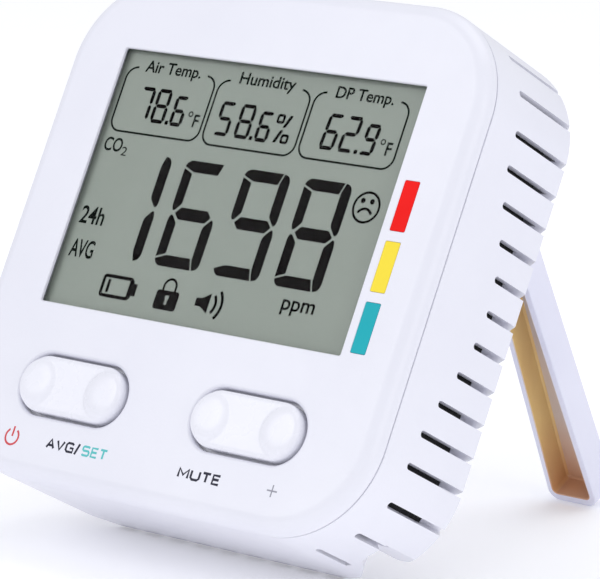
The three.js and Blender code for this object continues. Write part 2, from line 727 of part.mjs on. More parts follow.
// The leg's length brings the front edge of its foot down to the table when the stand is open.
// That edge lies half a thickness in front of the leg's middle, and the leg hangs from the hinge.
function legLength() {
  const half = stand.thickness / 2;
  const swing = stand.open;
  const alongY = Math.sin(swing) * Math.sin(lean);
  const alongZ = Math.cos(swing) * Math.cos(lean);
  const hinge = stand.z * Math.cos(lean) - stand.y * Math.sin(lean);
  const edge = half * Math.cos(swing) * Math.sin(lean) - half * Math.sin(swing) * Math.cos(lean);
  return (hinge + edge - tableLevel()) / (alongY + alongZ);
}

function legOutline(side, length, shrink, endWall) {
  const top = leg.topHalf - shrink;
  const foot = leg.footHalf - shrink;
  const r = leg.corner - Math.min(shrink, 2);
  const end = -length + endWall;
  const start = shrink ? -9 : 0;
  const x = side * stand.x;
  const shape = new THREE.Shape();
  shape.moveTo(x + top, start);
  shape.lineTo(x - top, start);
  shape.lineTo(x - foot, end + r);
  shape.absarc(x - foot + r, end + r, r, Math.PI, 1.5 * Math.PI);
  shape.absarc(x + foot - r, end + r, r, 1.5 * Math.PI, 2 * Math.PI);
  shape.closePath();
  return shape;
}

function standFrame() {
  const half = stand.thickness / 2;
  const length = legLength();
  const reach = stand.x + leg.topHalf;
  const legs = both.map((side) => slab(legOutline(side, length, 0, 0), -half, half, 4));
  const hollows = both.map((side) =>
    slab(legOutline(side, length, stand.web, leg.footWall), -half - 2, half - stand.web, 4),
  );
  const tubeBar = bar("x", half - 0.05, -reach, reach, [0, 0], 24);
  const bores = [-reach - 1, reach - axle.bore].map((x) =>
    bar("x", axle.radius + gap, x, x + axle.bore + 1, [0, 0]),
  );
  return cut(join(cut(join(...legs), ...hollows), tubeBar), ...bores);
}

const standGroup = new THREE.Group();
standGroup.position.set(0, stand.y, stand.z);
standGroup.rotation.x = stand.open;
add(standGroup, "stand", standFrame(), white, 0.35);
monitor.add(standGroup);
for (const side of both) {
  const word = side < 0 ? "left" : "right";
  const inside = stand.x + leg.topHalf - axle.bore + 0.4;
  const from = side < 0 ? -inside - axle.length : inside;
  const made = bar("x", axle.radius, from, from + axle.length, [stand.y, stand.z]);
  add(monitor, "stand_pin_" + word, made, steel, 0.3, 1);
}

// ---------------------------------------------------------------- the finished stance
// The monitor leans back, stands on its rear bottom edge and the two feet, and is centred on its footprint.
monitor.rotation.x = -lean;
const part = new THREE.Group();
part.add(monitor);
part.updateMatrixWorld(true);
const extent = new THREE.Box3().setFromObject(part, true);
monitor.position.set(
  -(extent.min.x + extent.max.x) / 2,
  -(extent.min.y + extent.max.y) / 2,
  -extent.min.z,
);

export default part;
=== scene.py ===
# Looks for a desktop carbon dioxide monitor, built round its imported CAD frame.
# Shapes are drawn in the monitor's own upright millimetres: x to the right, y from the front face into the
# case, z up. PLACE then carries them into the frame.
import math

import bmesh
import bpy
from mathutils import Matrix, Vector


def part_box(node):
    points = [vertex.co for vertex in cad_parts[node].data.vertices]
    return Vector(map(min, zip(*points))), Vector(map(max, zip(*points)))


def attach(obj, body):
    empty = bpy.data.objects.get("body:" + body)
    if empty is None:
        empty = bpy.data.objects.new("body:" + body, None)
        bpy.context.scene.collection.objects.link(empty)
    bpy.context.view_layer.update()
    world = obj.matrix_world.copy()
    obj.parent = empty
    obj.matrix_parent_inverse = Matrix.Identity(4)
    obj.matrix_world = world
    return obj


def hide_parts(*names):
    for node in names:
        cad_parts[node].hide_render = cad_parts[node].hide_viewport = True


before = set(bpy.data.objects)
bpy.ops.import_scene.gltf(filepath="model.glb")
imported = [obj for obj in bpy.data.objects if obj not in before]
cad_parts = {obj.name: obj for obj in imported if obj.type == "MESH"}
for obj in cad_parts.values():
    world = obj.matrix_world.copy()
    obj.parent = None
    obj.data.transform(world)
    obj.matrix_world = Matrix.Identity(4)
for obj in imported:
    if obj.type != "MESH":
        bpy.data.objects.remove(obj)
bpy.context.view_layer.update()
scene = bpy.context.scene

# ---------------- places and sizes
LEAN = math.radians(29)
STAND_OPEN = math.radians(54.1)
HALF_X, HALF_Z, CORNER = 61.8, 63.0, 24.0
SEAM, GAP, DEPTH, WALL = 4.6, 0.3, 43.0, 2.2
SHOW_X, SHOW_Z, SHOW_MID = 45.0, 32.1, 11.2
KEY_X, KEY_Z, KEY_HALF_X, KEY_HALF_Z = 26.3, -40.4, 16.3, 7.6
KEY_PIVOT_Y, KEY_PIVOT_REACH, KEY_PIVOT_RADIUS = 6, 13, 1.3
BUMP_X, BUMP_RADIUS, BUMP_HEIGHT = 10.6, 5.8, 0.9
HINGE_Y, HINGE_Z, LEG_X = 38.0, 39.6, 38
DOOR_HALF_X, DOOR_TOP, DOOR_HINGE_Z = 25.4, -0.7, -59.8
LCD_FACE = 2.2
BEHIND, FAR = 60, 80  # a depth behind the case, and a distance beyond its sides
SIDES = (-1, 1)
CORNERS = [(-1, 1), (1, 1), (-1, -1), (1, -1)]
CASE_SCREWS = [(sx * 49, sz * 50.5) for sx, sz in CORNERS]
BOARD_POSTS = [(sx * 52.5, sz * 27) for sx, sz in CORNERS]

pin_low, pin_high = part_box("stand_pin_left")
hinge = Vector((0, (pin_low.y + pin_high.y) / 2, (pin_low.z + pin_high.z) / 2))
TURN = Matrix.Rotation(-LEAN, 4, "X") @ Matrix.Scale(0.001, 4)
PLACE = Matrix.Translation(hinge - TURN @ Vector((0, HINGE_Y, HINGE_Z))) @ TURN
STAND_PLACE = PLACE @ Matrix.Translation((0, HINGE_Y, HINGE_Z)) @ Matrix.Rotation(STAND_OPEN, 4, "X")

# ---------------- node materials
def linear(colour):
    """An 8-bit screen colour as the linear colour that a shader takes."""
    out = []
    for c in colour:
        c /= 255
        out.append(c / 12.92 if c <= 0.04045 else ((c + 0.055) / 1.055) ** 2.4)
    return (*out, 1)


class Paint:
    """A node material under construction."""

    def __init__(self, name):
        self.material = bpy.data.materials.new(name)
        self.material.use_nodes = True
        self.tree = self.material.node_tree
        self.shader = self.tree.nodes["Principled BSDF"]
        self.place = self.node("ShaderNodeTexCoord").outputs["Object"]

    def node(self, kind, **values):
        n = self.tree.nodes.new(kind)
        for key, value in values.items():
            if hasattr(n, key):
                setattr(n, key, value)
            else:
                n.inputs[key.replace("_", " ")].default_value = value
        return n

    def link(self, a, b):
        self.tree.links.new(a, b)

    def noise(self, scale, detail=3.0, stretch=(1, 1, 1)):
        n = self.node("ShaderNodeTexNoise", Scale=scale, Detail=detail)
        source = self.place
        if stretch != (1, 1, 1):
            mapping = self.node("ShaderNodeMapping", Scale=stretch)
            self.link(source, mapping.inputs["Vector"])
            source = mapping.outputs[0]
        self.link(source, n.inputs["Vector"])
        return n.outputs["Fac"]

    def between(self, source, low, high, start=0.3, end=0.7):
        n = self.node("ShaderNodeMapRange")
        for i, value in zip((1, 2, 3, 4), (start, end, low, high)):
            n.inputs[i].default_value = value
        self.link(source, n.inputs[0])
        return n.outputs[0]

    def mix(self, factor, a, b):
        n = self.node("ShaderNodeMix", data_type="RGBA")
        if isinstance(factor, float):
            n.inputs[0].default_value = factor
        else:
            self.link(factor, n.inputs[0])
        for socket, value in ((n.inputs[6], a), (n.inputs[7], b)):
            if isinstance(value, tuple):
                socket.default_value = value
            else:
                self.link(value, socket)
        return n.outputs[2]

    def bump(self, height, distance):
        n = self.node("ShaderNodeBump", Strength=1.0, Distance=distance)
        self.link(height, n.inputs["Height"])
        self.link(n.outputs[0], self.shader.inputs["Normal"])


def moulded(name, low, high, rough, grain=1400, bump=0.00002, metal=0.0, patch=22, coat=0.0, shine=0.5):
    """Moulded plastic or metal: a slow drift of colour and gloss, and a fine surface grain."""
    p = Paint(name)
    drift = p.noise(patch, 4)
    p.link(p.mix(p.between(drift, 0, 1), linear(low), linear(high)), p.shader.inputs["Base Color"])
    p.link(p.between(p.noise(patch * 9, 5), rough - 0.05, rough + 0.05), p.shader.inputs["Roughness"])
    p.bump(p.noise(grain, 2), bump)
    p.shader.inputs["Metallic"].default_value = metal
    p.shader.inputs["Coat Weight"].default_value = coat
    p.shader.inputs["Coat Roughness"].default_value = 0.12
    p.shader.inputs["Specular IOR Level"].default_value = shine
    return p.material


def brushed(name, low, high, rough, stretch):
    """Drawn or brushed metal with fine lines."""
    p = Paint(name)
    lines = p.noise(900, 4, stretch)
    p.link(p.mix(p.between(lines, 0, 1), linear(low), linear(high)), p.shader.inputs["Base Color"])
    p.link(p.between(lines, rough - 0.08, rough + 0.08), p.shader.inputs["Roughness"])
    p.bump(lines, 0.00002)
    p.shader.inputs["Metallic"].default_value = 1.0
    return p.material


def circuit(name):
    """Green solder mask with copper lines shining through."""
    p = Paint(name)
    cells = p.node("ShaderNodeTexVoronoi", Scale=260.0, distance="MANHATTAN", feature="DISTANCE_TO_EDGE")
    p.link(p.place, cells.inputs["Vector"])
    tracks = p.between(cells.outputs[0], 1, 0, 0.03, 0.06)
    mask = p.mix(p.between(p.noise(40, 4), 0, 1), linear((20, 92, 58)), linear((28, 110, 70)))
    p.link(p.mix(tracks, mask, linear((52, 138, 84))), p.shader.inputs["Base Color"])
    p.link(p.between(p.noise(300, 3), 0.35, 0.5), p.shader.inputs["Roughness"])
    p.bump(tracks, 0.00003)
    return p.material


def legs_inside(name):
    """The legs' hollow, coloured with painted light: a painted warm glow on the walls that face outwards,
    painted warm shade in grey on the rest, and darker orange low down near the floor.
    """
    p = Paint(name)
    faces = p.node("ShaderNodeTexCoord").outputs["Normal"]
    place, facing = p.node("ShaderNodeSeparateXYZ"), p.node("ShaderNodeSeparateXYZ")
    p.link(p.place, place.inputs[0])
    p.link(faces, facing.inputs[0])
    outwards = p.node("ShaderNodeMath", operation="MULTIPLY")
    p.link(place.outputs["X"], outwards.inputs[0])
    p.link(facing.outputs["X"], outwards.inputs[1])
    # Painted light: a warm glow painted on the walls whose faces point away from the middle.
    outward_glow_mask = p.between(outwards.outputs[0], 0, 1, 0.006, 0.02)
    # Darker and more orange low down, within about 2 cm of the floor.
    low = p.between(place.outputs["Z"], 0.85, 0, 0.004, 0.022)
    cloud = p.between(p.noise(90, 4, (1, 1, 0.35)), 0, 1)
    painted_glow = p.mix(cloud, linear((244, 210, 140)), linear((232, 194, 130)))
    near_floor_orange = p.mix(cloud, linear((216, 156, 104)), linear((198, 148, 112)))
    # Painted shade: a warm grey on the rest of the hollow.
    grey = p.mix(cloud, linear((222, 206, 196)), linear((210, 200, 198)))
    p.link(p.mix(low, p.mix(outward_glow_mask, grey, painted_glow), near_floor_orange), p.shader.inputs["Base Color"])
    p.link(p.between(cloud, 0.35, 0.5), p.shader.inputs["Roughness"])
    p.bump(p.noise(1200, 2), 0.00002)
    return p.material


def clear(name):
    """A clear sheet with almost no refraction."""
    p = Paint(name)
    p.shader.inputs["Base Color"].default_value = (1, 1, 1, 1)
    p.shader.inputs["Transmission Weight"].default_value = 1.0
    p.shader.inputs["IOR"].default_value = 1.08
    p.link(p.between(p.noise(60, 3), 0.02, 0.05), p.shader.inputs["Roughness"])
    return p.material


def screen(name):
    """The display's reflective back, seen through its polariser: grey green with a fine pearly grain."""
    p = Paint(name)
    drift = p.between(p.noise(14, 2), 0, 1)
    base = p.mix(drift, linear((124, 135, 126)), linear((131, 140, 131)))
    grain = p.between(p.noise(2600, 2), 0, 1)
    p.link(p.mix(grain, base, linear((137, 144, 136))), p.shader.inputs["Base Color"])
    p.link(p.between(grain, 0.45, 0.6), p.shader.inputs["Roughness"])
    p.bump(p.noise(3000, 2), 0.00001)
    return p.material


def ink(name, low, high):
    return moulded(name, low, high, 0.7, grain=2500, bump=0.000005, patch=60, shine=0.0)


WHITE = moulded("white_shell", (230, 230, 240), (235, 235, 244), 0.34, coat=0.15)
CAP = moulded("key_cap", (234, 234, 243), (239, 239, 247), 0.28, coat=0.25)
LEG = moulded("stand_white", (222, 222, 238), (230, 230, 244), 0.36)
# The hollow's colours are painted light: a painted warm glow and painted shade on the white plastic.
HOLLOW_PAINTED_LIGHT = legs_inside("stand_hollow")
CLEAR = clear("clear_window")
SCREEN = screen("lcd_screen")
INK = ink("lcd_ink", (8, 6, 7), (14, 11, 12))
LINE_INK = ink("lcd_line_ink", (16, 20, 18), (24, 29, 26))
RED = moulded("mark_red", (240, 8, 4), (250, 16, 10), 0.6, shine=0.2)
YELLOW = moulded("mark_yellow", (250, 224, 60), (254, 234, 82), 0.6, shine=0.2)
TEAL = moulded("mark_teal", (30, 172, 184), (44, 186, 196), 0.6, shine=0.2)
PRINT_DARK = moulded("print_dark", (36, 36, 52), (46, 46, 62), 0.5, shine=0.2)
PRINT_TEAL = moulded("print_teal", (78, 188, 190), (92, 200, 200), 0.45)
PRINT_RED = moulded("print_red", (200, 56, 66), (212, 70, 78), 0.45)
PRINT_GREY = moulded("print_grey", (140, 140, 152), (154, 154, 166), 0.45)
INNER = moulded("inner_plastic", (206, 207, 212), (216, 217, 222), 0.5, bump=0.00004)
BLACK = moulded("black_plastic", (24, 24, 27), (34, 34, 38), 0.45, bump=0.00005)
FOAM = moulded("vent_screen", (10, 10, 12), (20, 20, 23), 0.9, grain=700, bump=0.0004)
RUBBER = moulded("contact_rubber", (50, 50, 56), (66, 66, 72), 0.8, bump=0.0001)
STEEL = brushed("steel", (168, 170, 176), (196, 198, 204), 0.3, (1, 12, 1))
GOLD = brushed("gold_cell", (196, 152, 62), (222, 182, 88), 0.28, (8, 1, 1))
LAMP = moulded("lamp_glass", (226, 222, 208), (238, 234, 222), 0.15, coat=0.5)
FILTER = moulded("filter_white", (232, 232, 228), (246, 246, 242), 0.9, grain=600, bump=0.0003)
SLEEVE = moulded("cell_sleeve", (62, 76, 88), (84, 98, 110), 0.32, metal=0.4)
BAND = moulded("cell_band", (176, 120, 62), (196, 140, 78), 0.3, metal=0.6)
BOARD = circuit("circuit_board")

# ---------------- mesh tools
def rounded(half_x, half_z, r, cx=0.0, cz=0.0, n=16):
    """A rounded rectangle, anticlockwise, with n steps round each corner."""
    points = []
    for (sx, sz), start in zip([(1, 1), (-1, 1), (-1, -1), (1, -1)], (0, 90, 180, 270)):
        for k in range(n + 1):
            a = math.radians(start + 90 * k / n)
            x = cx + sx * (half_x - r) + r * math.cos(a)
            points.append((x, cz + sz * (half_z - r) + r * math.sin(a)))
    return points


def circle(r, cx=0.0, cz=0.0, n=32):
    angles = [2 * math.pi * k / n for k in range(n)]
    return [(cx + r * math.cos(a), cz + r * math.sin(a)) for a in angles]


def grown(points, d):
    """The outline moved outwards by d. It runs anticlockwise and has no tight hollows."""
    out = []
    count = len(points)
    for i, (x, z) in enumerate(points):
        ax, az = points[i - 1]
        bx, bz = points[(i + 1) % count]
        k = i
        while math.hypot(x - ax, z - az) < 1e-7:
            k -= 1
            ax, az = points[k - 1]
        k = i + 1
        while math.hypot(bx - x, bz - z) < 1e-7:
            k += 1
            bx, bz = points[k % count]
        n1 = Vector((z - az, ax - x)).normalized()
        n2 = Vector((bz - z, x - bx)).normalized()
        m = (n1 + n2).normalized()
        m *= d / max(m.dot(n1), 0.3)
        out.append((x + m.x, z + m.y))
    return out


def loft(bm, rings, close=True, slot=0):
    """Joins rings of points with quads, and closes both ends."""
    made = []
    loops = [[bm.verts.new(p) for p in ring] for ring in rings]
    count = len(rings[0])
    for low, high in zip(loops, loops[1:]):
        for i in range(count):
            j = (i + 1) % count
            made.append(bm.faces.new((low[i], low[j], high[j], high[i])))
    if close:
        made.append(bm.faces.new(loops[0][::-1]))
        made.append(bm.faces.new(loops[-1]))
    for f in made:
        f.material_index = slot
    return made


def plate(bm, outline, profile, slot=0):
    """An outline in x and z carried through depths: profile holds (growth, y)."""
    loft(bm, [[(x, y, z) for x, z in grown(outline, g)] for g, y in profile], slot=slot)


def clean(bm):
    """Welds doubled corners and turns every face outwards."""
    bmesh.ops.remove_doubles(bm, verts=bm.verts, dist=1e-5)
    bmesh.ops.recalc_face_normals(bm, faces=bm.faces)


def solid(draw):
    """An object from a function that draws into a bmesh."""
    bm = bmesh.new()
    draw(bm)
    clean(bm)
    mesh = bpy.data.meshes.new("tool")
    bm.to_mesh(mesh)
    bm.free()
    o = bpy.data.objects.new("tool", mesh)
    scene.collection.objects.link(o)
    return o


def lofted(rings):
    return solid(lambda bm: loft(bm, rings))


def slab(outline, profile, slot=0):
    return solid(lambda bm: plate(bm, outline, profile, slot))


def combine(base, tools, operation="DIFFERENCE"):
    """Cuts or joins tools into base, and removes them."""
    for tool in tools:
        m = base.modifiers.new("combine", "BOOLEAN")
        m.operation = operation
        m.solver = "MANIFOLD"
        m.object = tool
    graph = bpy.context.evaluated_depsgraph_get()
    graph.update()
    mesh = bpy.data.meshes.new_from_object(base.evaluated_get(graph))
    base.modifiers.clear()
    old = base.data
    base.data = mesh
    bpy.data.meshes.remove(old)
    for tool in tools:
        old = tool.data
        bpy.data.objects.remove(tool)
        bpy.data.meshes.remove(old)
    return base


def block(x0, x1, y0, y1, z0, z1):
    shape = rounded((x1 - x0) / 2, (z1 - z0) / 2, 0.01, (x0 + x1) / 2, (z0 + z1) / 2, 4)
    return slab(shape, [(0, y0), (0, y1)])


def pocket(outline, front, rim=0.5):
    """A tool that opens at the back with a rounded rim."""
    profile = [(0, front)]
    for k in range(6):
        a = math.pi / 2 * k / 5
        profile.append((rim * (1 - math.cos(a)), DEPTH - rim + rim * math.sin(a)))
    profile.append((rim, DEPTH + 8))
    return slab(outline, profile)


def mouth(outline, back, rim=0.4, steps=5):
    """A tool that opens at the front face with a rounded rim."""
    profile = [(rim, -2)]
    for k in range(steps + 1):
        a = math.pi / 2 * k / steps
        profile.append((rim * (1 - math.sin(a)), rim * (1 - math.cos(a))))
    profile.append((0, back))
    return slab(outline, profile)


def rod(axis, radius, start, end, at, n=24, chamfer=0.0):
    """A round bar along one axis, with its ends' edges broken."""
    def ring(r, along):
        points = []
        for u, v in circle(r, at[0], at[1], n):
            points.append({"x": (along, u, v), "y": (u, along, v), "z": (u, v, along)}[axis])
        return points
    rings = [ring(radius, start + chamfer), ring(radius, end - chamfer)]
    if chamfer:
        tip = radius - chamfer
        rings = [ring(tip, start), *rings, ring(tip, end)]
    return lofted(rings)


def piece(o, name, body, materials, stands_for=(), place=PLACE, angle=32, weighted=True):
    """Places a finished mesh in the frame, smooths it and hangs it on its body."""
    o.name = o.data.name = name
    o.data.transform(place)
    picks = [f.material_index for f in o.data.polygons]
    o.data.materials.clear()
    for m in materials:
        o.data.materials.append(m)
    o.data.polygons.foreach_set("material_index", [min(i, len(materials) - 1) for i in picks])
    o.data.shade_smooth()
    o.data.set_sharp_from_angle(angle=math.radians(angle))
    if weighted:
        m = o.modifiers.new("normals", "WEIGHTED_NORMAL")
        m.keep_sharp = True
    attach(o, body)
    if stands_for:
        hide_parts(*stands_for)
    return o


# ---------------- front cover
MARK_X, MARK_TOP_Z, MARK_PITCH = 49.5, 15, 14.4


def key_opening(side):
    return rounded(KEY_HALF_X, KEY_HALF_Z, KEY_HALF_Z - 0.001, side * KEY_X, KEY_Z, 20)


def mark_outline(row, shrink):
    return rounded(2.1 - shrink, 6 - shrink, 0.35, MARK_X, MARK_TOP_Z - row * MARK_PITCH, 5)


def key_pivot_hole(side):
    ends = (KEY_Z - KEY_PIVOT_REACH, KEY_Z + KEY_PIVOT_REACH)
    return rod("z", KEY_PIVOT_RADIUS, *ends, (side * KEY_X, KEY_PIVOT_Y))


def cover():
    """The front cover, with screw posts and the lugs that hold the keys' pins."""
    outline = rounded(HALF_X, HALF_Z, CORNER, n=32)
    fillet, steps, inside = 3.9, 14, 1.5
    profile = []
    for k in range(steps + 1):
        a = math.pi / 2 * k / steps
        profile.append((-fillet * (1 - math.sin(a)), fillet * (1 - math.cos(a))))
    back = SEAM - GAP
    profile += [(0, back - 0.3), (-0.09, back - 0.09), (-0.3, back), (-WALL, back), (-WALL, 2.0)]
    o = slab(outline, profile)
    posts = [rod("y", 3.4, inside, 14, at) for at in CASE_SCREWS]
    posts += [rod("y", 2.6, inside, 9.3, at) for at in BOARD_POSTS]
    for side in SIDES:
        for end in SIDES:
            z = KEY_Z + end * 11.4
            posts.append(block(side * KEY_X - 2.6, side * KEY_X + 2.6, inside, 8.4, z - 1, z + 1))
    combine(o, posts, "UNION")
    opening = rounded(SHOW_X, SHOW_Z, 0.5, 0, SHOW_MID, 6)
    rebate = rounded(SHOW_X + 1.6, SHOW_Z + 1.6, 0.6, 0, SHOW_MID, 4)
    cuts = [mouth(opening, 4, 0.35), slab(rebate, [(0, 0.8), (0, 4)])]
    cuts += [mouth(key_opening(side), 5, 0.9, 8) for side in SIDES]
    cuts += [mouth(mark_outline(row, 0), 0.4, 0.12, 2) for row in range(3)]
    cuts += [rod("y", 1.4, 6, 20, at) for at in CASE_SCREWS]
    cuts += [rod("y", 1.2, 4, 20, at) for at in BOARD_POSTS]
    cuts += [key_pivot_hole(side) for side in SIDES]
    combine(o, cuts)
    return piece(o, "shell_front", "case", [WHITE], ["front_cover"])


# ---------------- rear housing
SLOT_PITCH, SLOT_HALF = 7.88, 0.8
SLOT_LOW_END, SLOT_HIGH_END, SLOT_SPLIT = 31.0, 35.5, 19.7
CORNER_SLOT_START, CORNER_SLOT_SHORT_END = 14.0, 27
TURN_START, TURN_IN = 36.6, 6.2
INLET_Y, INLET_Z, INLET_HALF, INLET_ROW = 24.0, -24.0, 4.7, -3


def slot_start(z):
    """Where a slot begins: the column's front ends lie on a smooth curve, furthest back at the middle."""
    share = min(abs(z) / 40, 1)
    return 13.6 + 0.03 * max(z - 10, 0) + 11.1 * math.cos(share * math.pi / 2) ** 2


def slot_rear(z):
    return SLOT_HIGH_END if z > SLOT_SPLIT else SLOT_LOW_END


def slot_tool(start, depth, rear, place):
    """A vent tool: a round tip in front, then straight to the rear. place takes (outward, back, up)."""
    rim = 0.06
    tip = []
    for k in range(13):
        a = math.pi / 2 + math.pi * k / 12
        tip.append((start + SLOT_HALF + SLOT_HALF * math.cos(a), SLOT_HALF * math.sin(a)))
    outline = [(rear, SLOT_HALF)] + tip + [(rear, -SLOT_HALF)]
    rings = [(0, -depth), (0, -rim), (rim * 0.3, -rim * 0.3), (rim, 0.0), (rim, 7)]
    made = [[place(out, u, v) for u, v in grown(outline, g)] for g, out in rings]
    return lofted(made)


def side_slots(side):
    """The straight column of slots: a short one through the wall, and a notch that runs on to the back."""
    tools = []
    for row in range(-5, 6):
        if side < 0 and row == INLET_ROW:
            continue
        z = row * SLOT_PITCH

        def place(out, u, v, z=z):
            return (side * (HALF_X + out), u, z + v)
        tools.append(slot_tool(slot_start(z), WALL + 1, slot_rear(z), place))
        tools.append(slot_tool(slot_rear(z) - 3, 6, DEPTH + 2, place))
    return tools


def corner_slots(side, end):
    """The slots that go round a corner. At the bottom they run out into the finger scoop."""
    tools = []
    rear = slot_rear(end * (HALF_Z - CORNER))
    scooped = end < 0
    short = CORNER_SLOT_SHORT_END
    rows = ((24, True, rear), (48, not scooped, short if scooped else rear), (73, False, short))
    for angle, notched, stop in rows:
        c, s = math.cos(math.radians(angle)), math.sin(math.radians(angle))

        def place(out, u, v, c=c, s=s):
            r = CORNER + out
            return (side * (HALF_X - CORNER + r * c - v * s), u, end * (HALF_Z - CORNER + r * s + v * c))
        tools.append(slot_tool(CORNER_SLOT_START, WALL + 1, stop, place))
        if notched:
            tools.append(slot_tool(rear - 3, 4.5, DEPTH + 2, place))
    return tools


SCOOP_EDGE = [(52.5, 24.8), (50.4, 25.1), (48.6, 26.3), (46.6, 29.6), (44.2, 33.6), (41.8, 36.6), (39, 39),
              (35.2, 41.3), (30, 43.4)]


def finger_scoop(side, growth=0.0):
    """The cut in a lower corner at the foot of the folded leg, drawn in plan view."""
    edge = [(x - growth, y - growth) for x, y in SCOOP_EDGE]
    out = 70
    outline = [(out, edge[0][1]), *edge, (edge[-1][0], out), (out, out)]
    rings = [[(side * x, y, z) for x, y in outline] for z in (-FAR, -56 + growth)]
    return lofted(rings)


def leg_pocket(side, growth):
    """The outline of a leg's recess and the depth of its floor."""
    half = 7.7 + growth
    bottom = -HALF_Z + (1 if growth else 2.4)
    top = HINGE_Z + 2
    mid, half_z = (bottom + top) / 2, (top - bottom) / 2
    return rounded(half, half_z, 0.8, side * LEG_X, mid, 6), 33.2 - growth


def cross_pocket(growth):
    """The same for the stand's cross bar."""
    return rounded(45.7 + growth, 5 + growth, 0.8, 0, HINGE_Z, 6), 33 - growth


def housing_body():
    """The sides turn in towards the back, and both edges are rounded."""
    soft, fillet = 0.3, 1.9

    def turned_in(y):
        return TURN_IN * max(y - TURN_START, 0) / (DEPTH - TURN_START)
    # Each ring: its depth, how far the sides are turned in, and how far the rim is rounded off.
    rings = [(SEAM, 0, soft), (SEAM + 0.09, 0, 0.09), (SEAM + soft, 0, 0), (35.4, 0, 0)]
    rings.append((TURN_START, 0.02, 0))
    for k in range(1, 7):
        y = TURN_START + 0.6 * k
        rings.append((y, turned_in(y), 0))
    for k in range(7):
        a = math.pi / 2 * k / 6
        y = DEPTH - fillet + fillet * math.sin(a)
        rings.append((y, turned_in(y), fillet * (1 - math.cos(a))))

    def draw(bm):
        shapes = []
        for y, inset, rim in rings:
            outline = rounded(HALF_X - inset - rim, HALF_Z - rim, CORNER - rim, n=32)
            shapes.append([(x, y, z) for x, z in outline])
        loft(bm, shapes)
    return solid(draw)


def housing_hollow():
    """The inside of the housing, which leaves walls round the recesses, the battery bay and the screws."""
    inner = rounded(HALF_X - WALL, HALF_Z - WALL, CORNER - WALL, n=24)
    hollow = slab(inner, [(0, 0), (0, DEPTH - 2.6)])
    keep = []
    recess_wall = 1.8
    walled = (leg_pocket(-1, recess_wall), leg_pocket(1, recess_wall), cross_pocket(recess_wall))
    for outline, front in walled:
        keep.append(slab(outline, [(0, front), (0, BEHIND)]))
    keep.append(block(-DOOR_HALF_X, DOOR_HALF_X, 23.4, BEHIND, -60.8, DOOR_TOP))
    for s in SIDES:
        left, right = (-FAR, -51) if s < 0 else (51, FAR)
        keep.append(block(left, right, SLOT_LOW_END, BEHIND, -FAR, SLOT_SPLIT + 0.01))
        keep.append(block(left, right, SLOT_HIGH_END, BEHIND, SLOT_SPLIT, FAR))
        keep.append(finger_scoop(s, WALL))
    keep += [rod("y", 4.2, 14.6, BEHIND, at) for at in CASE_SCREWS]
    return combine(hollow, keep)


def inlet_hole():
    shape = rounded(5, 5, 1.2, INLET_Y, INLET_Z, 6)
    sections = ((0, 5), (0, 0.4), (0.12, 0.12), (0.4, 0), (0.4, -4))
    rings = [[(-HALF_X + x, y, z) for y, z in grown(shape, g)] for g, x in sections]
    return lofted(rings)


def housing():
    """The rear housing: recesses, battery bay, door ledge, edge notches, screw wells and alarm holes."""
    cuts = [housing_hollow()]
    for s in SIDES:
        cuts += side_slots(s) + corner_slots(s, -1) + corner_slots(s, 1)
        cuts.append(finger_scoop(s))
        cuts.append(rod("x", 1.8, *sorted((s * 44, s * 52.5)), (HINGE_Y, HINGE_Z)))
    bay, ledge = rounded(23.6, 28.25, 0.6, 0, -30.75, 4), rounded(25.7, 30.3, 1.0, 0, -30.7, 6)
    cuts.append(pocket(bay, 25.2, 0.01))
    cuts.append(pocket(ledge, 40.9, 0.25))
    cuts.append(rod("y", 5, DEPTH - 1.6, BEHIND, (0, 0.8), 40))
    for made, front in (leg_pocket(-1, 0), leg_pocket(1, 0), cross_pocket(0)):
        cuts.append(pocket(made, front))
    for i in range(-5, 5):
        shape = rounded(2.65, 1.6, 0.4, i * SLOT_PITCH, -HALF_Z - 0.4, 4)
        cuts.append(slab(shape, [(0, 39.8), (0, 41.6)]))
    for at in CASE_SCREWS:
        cuts.append(pocket(circle(3.2, *at, 40), 20, 0.4))
        cuts.append(rod("y", 1.6, 10, 22, at))
    cuts += [pocket(circle(0.9, i * 4, 54, 20), 30, 0.25) for i in range(-2, 3)]
    cuts.append(inlet_hole())
    o = combine(housing_body(), cuts)
    return piece(o, "shell_rear", "case", [WHITE], ["rear_housing"])


cover()
housing()
print("shells made")

# ---------------- display
def window():
    shape = rounded(SHOW_X + 1.3, SHOW_Z + 1.3, 0.5, 0, SHOW_MID, 4)
    o = slab(shape, [(-0.1, 1.1), (0, 1.2), (0, 1.8), (-0.1, 1.9)])
    piece(o, "window_clear", "case", [CLEAR], ["display_window"])
    o.visible_shadow = False


def panel():
    shape = rounded(SHOW_X + 0.9, SHOW_Z + 0.9, 0.5, 0, SHOW_MID, 4)
    o = slab(shape, [(-0.15, LCD_FACE), (0, 2.35), (0, 4.65), (-0.15, 4.8)])
    piece(o, "lcd_glass", "case", [SCREEN], ["lcd_panel"])


def polygon(bm, points, y0, y1, slot=0):
    """A filled flat shape."""
    area = sum(a[0] * b[1] - b[0] * a[1] for a, b in zip(points, points[1:] + points[:1]))
    if area < 0:
        points = points[::-1]
    loft(bm, [[(x, y, z) for x, z in points] for y in (y0, y1)], slot=slot)


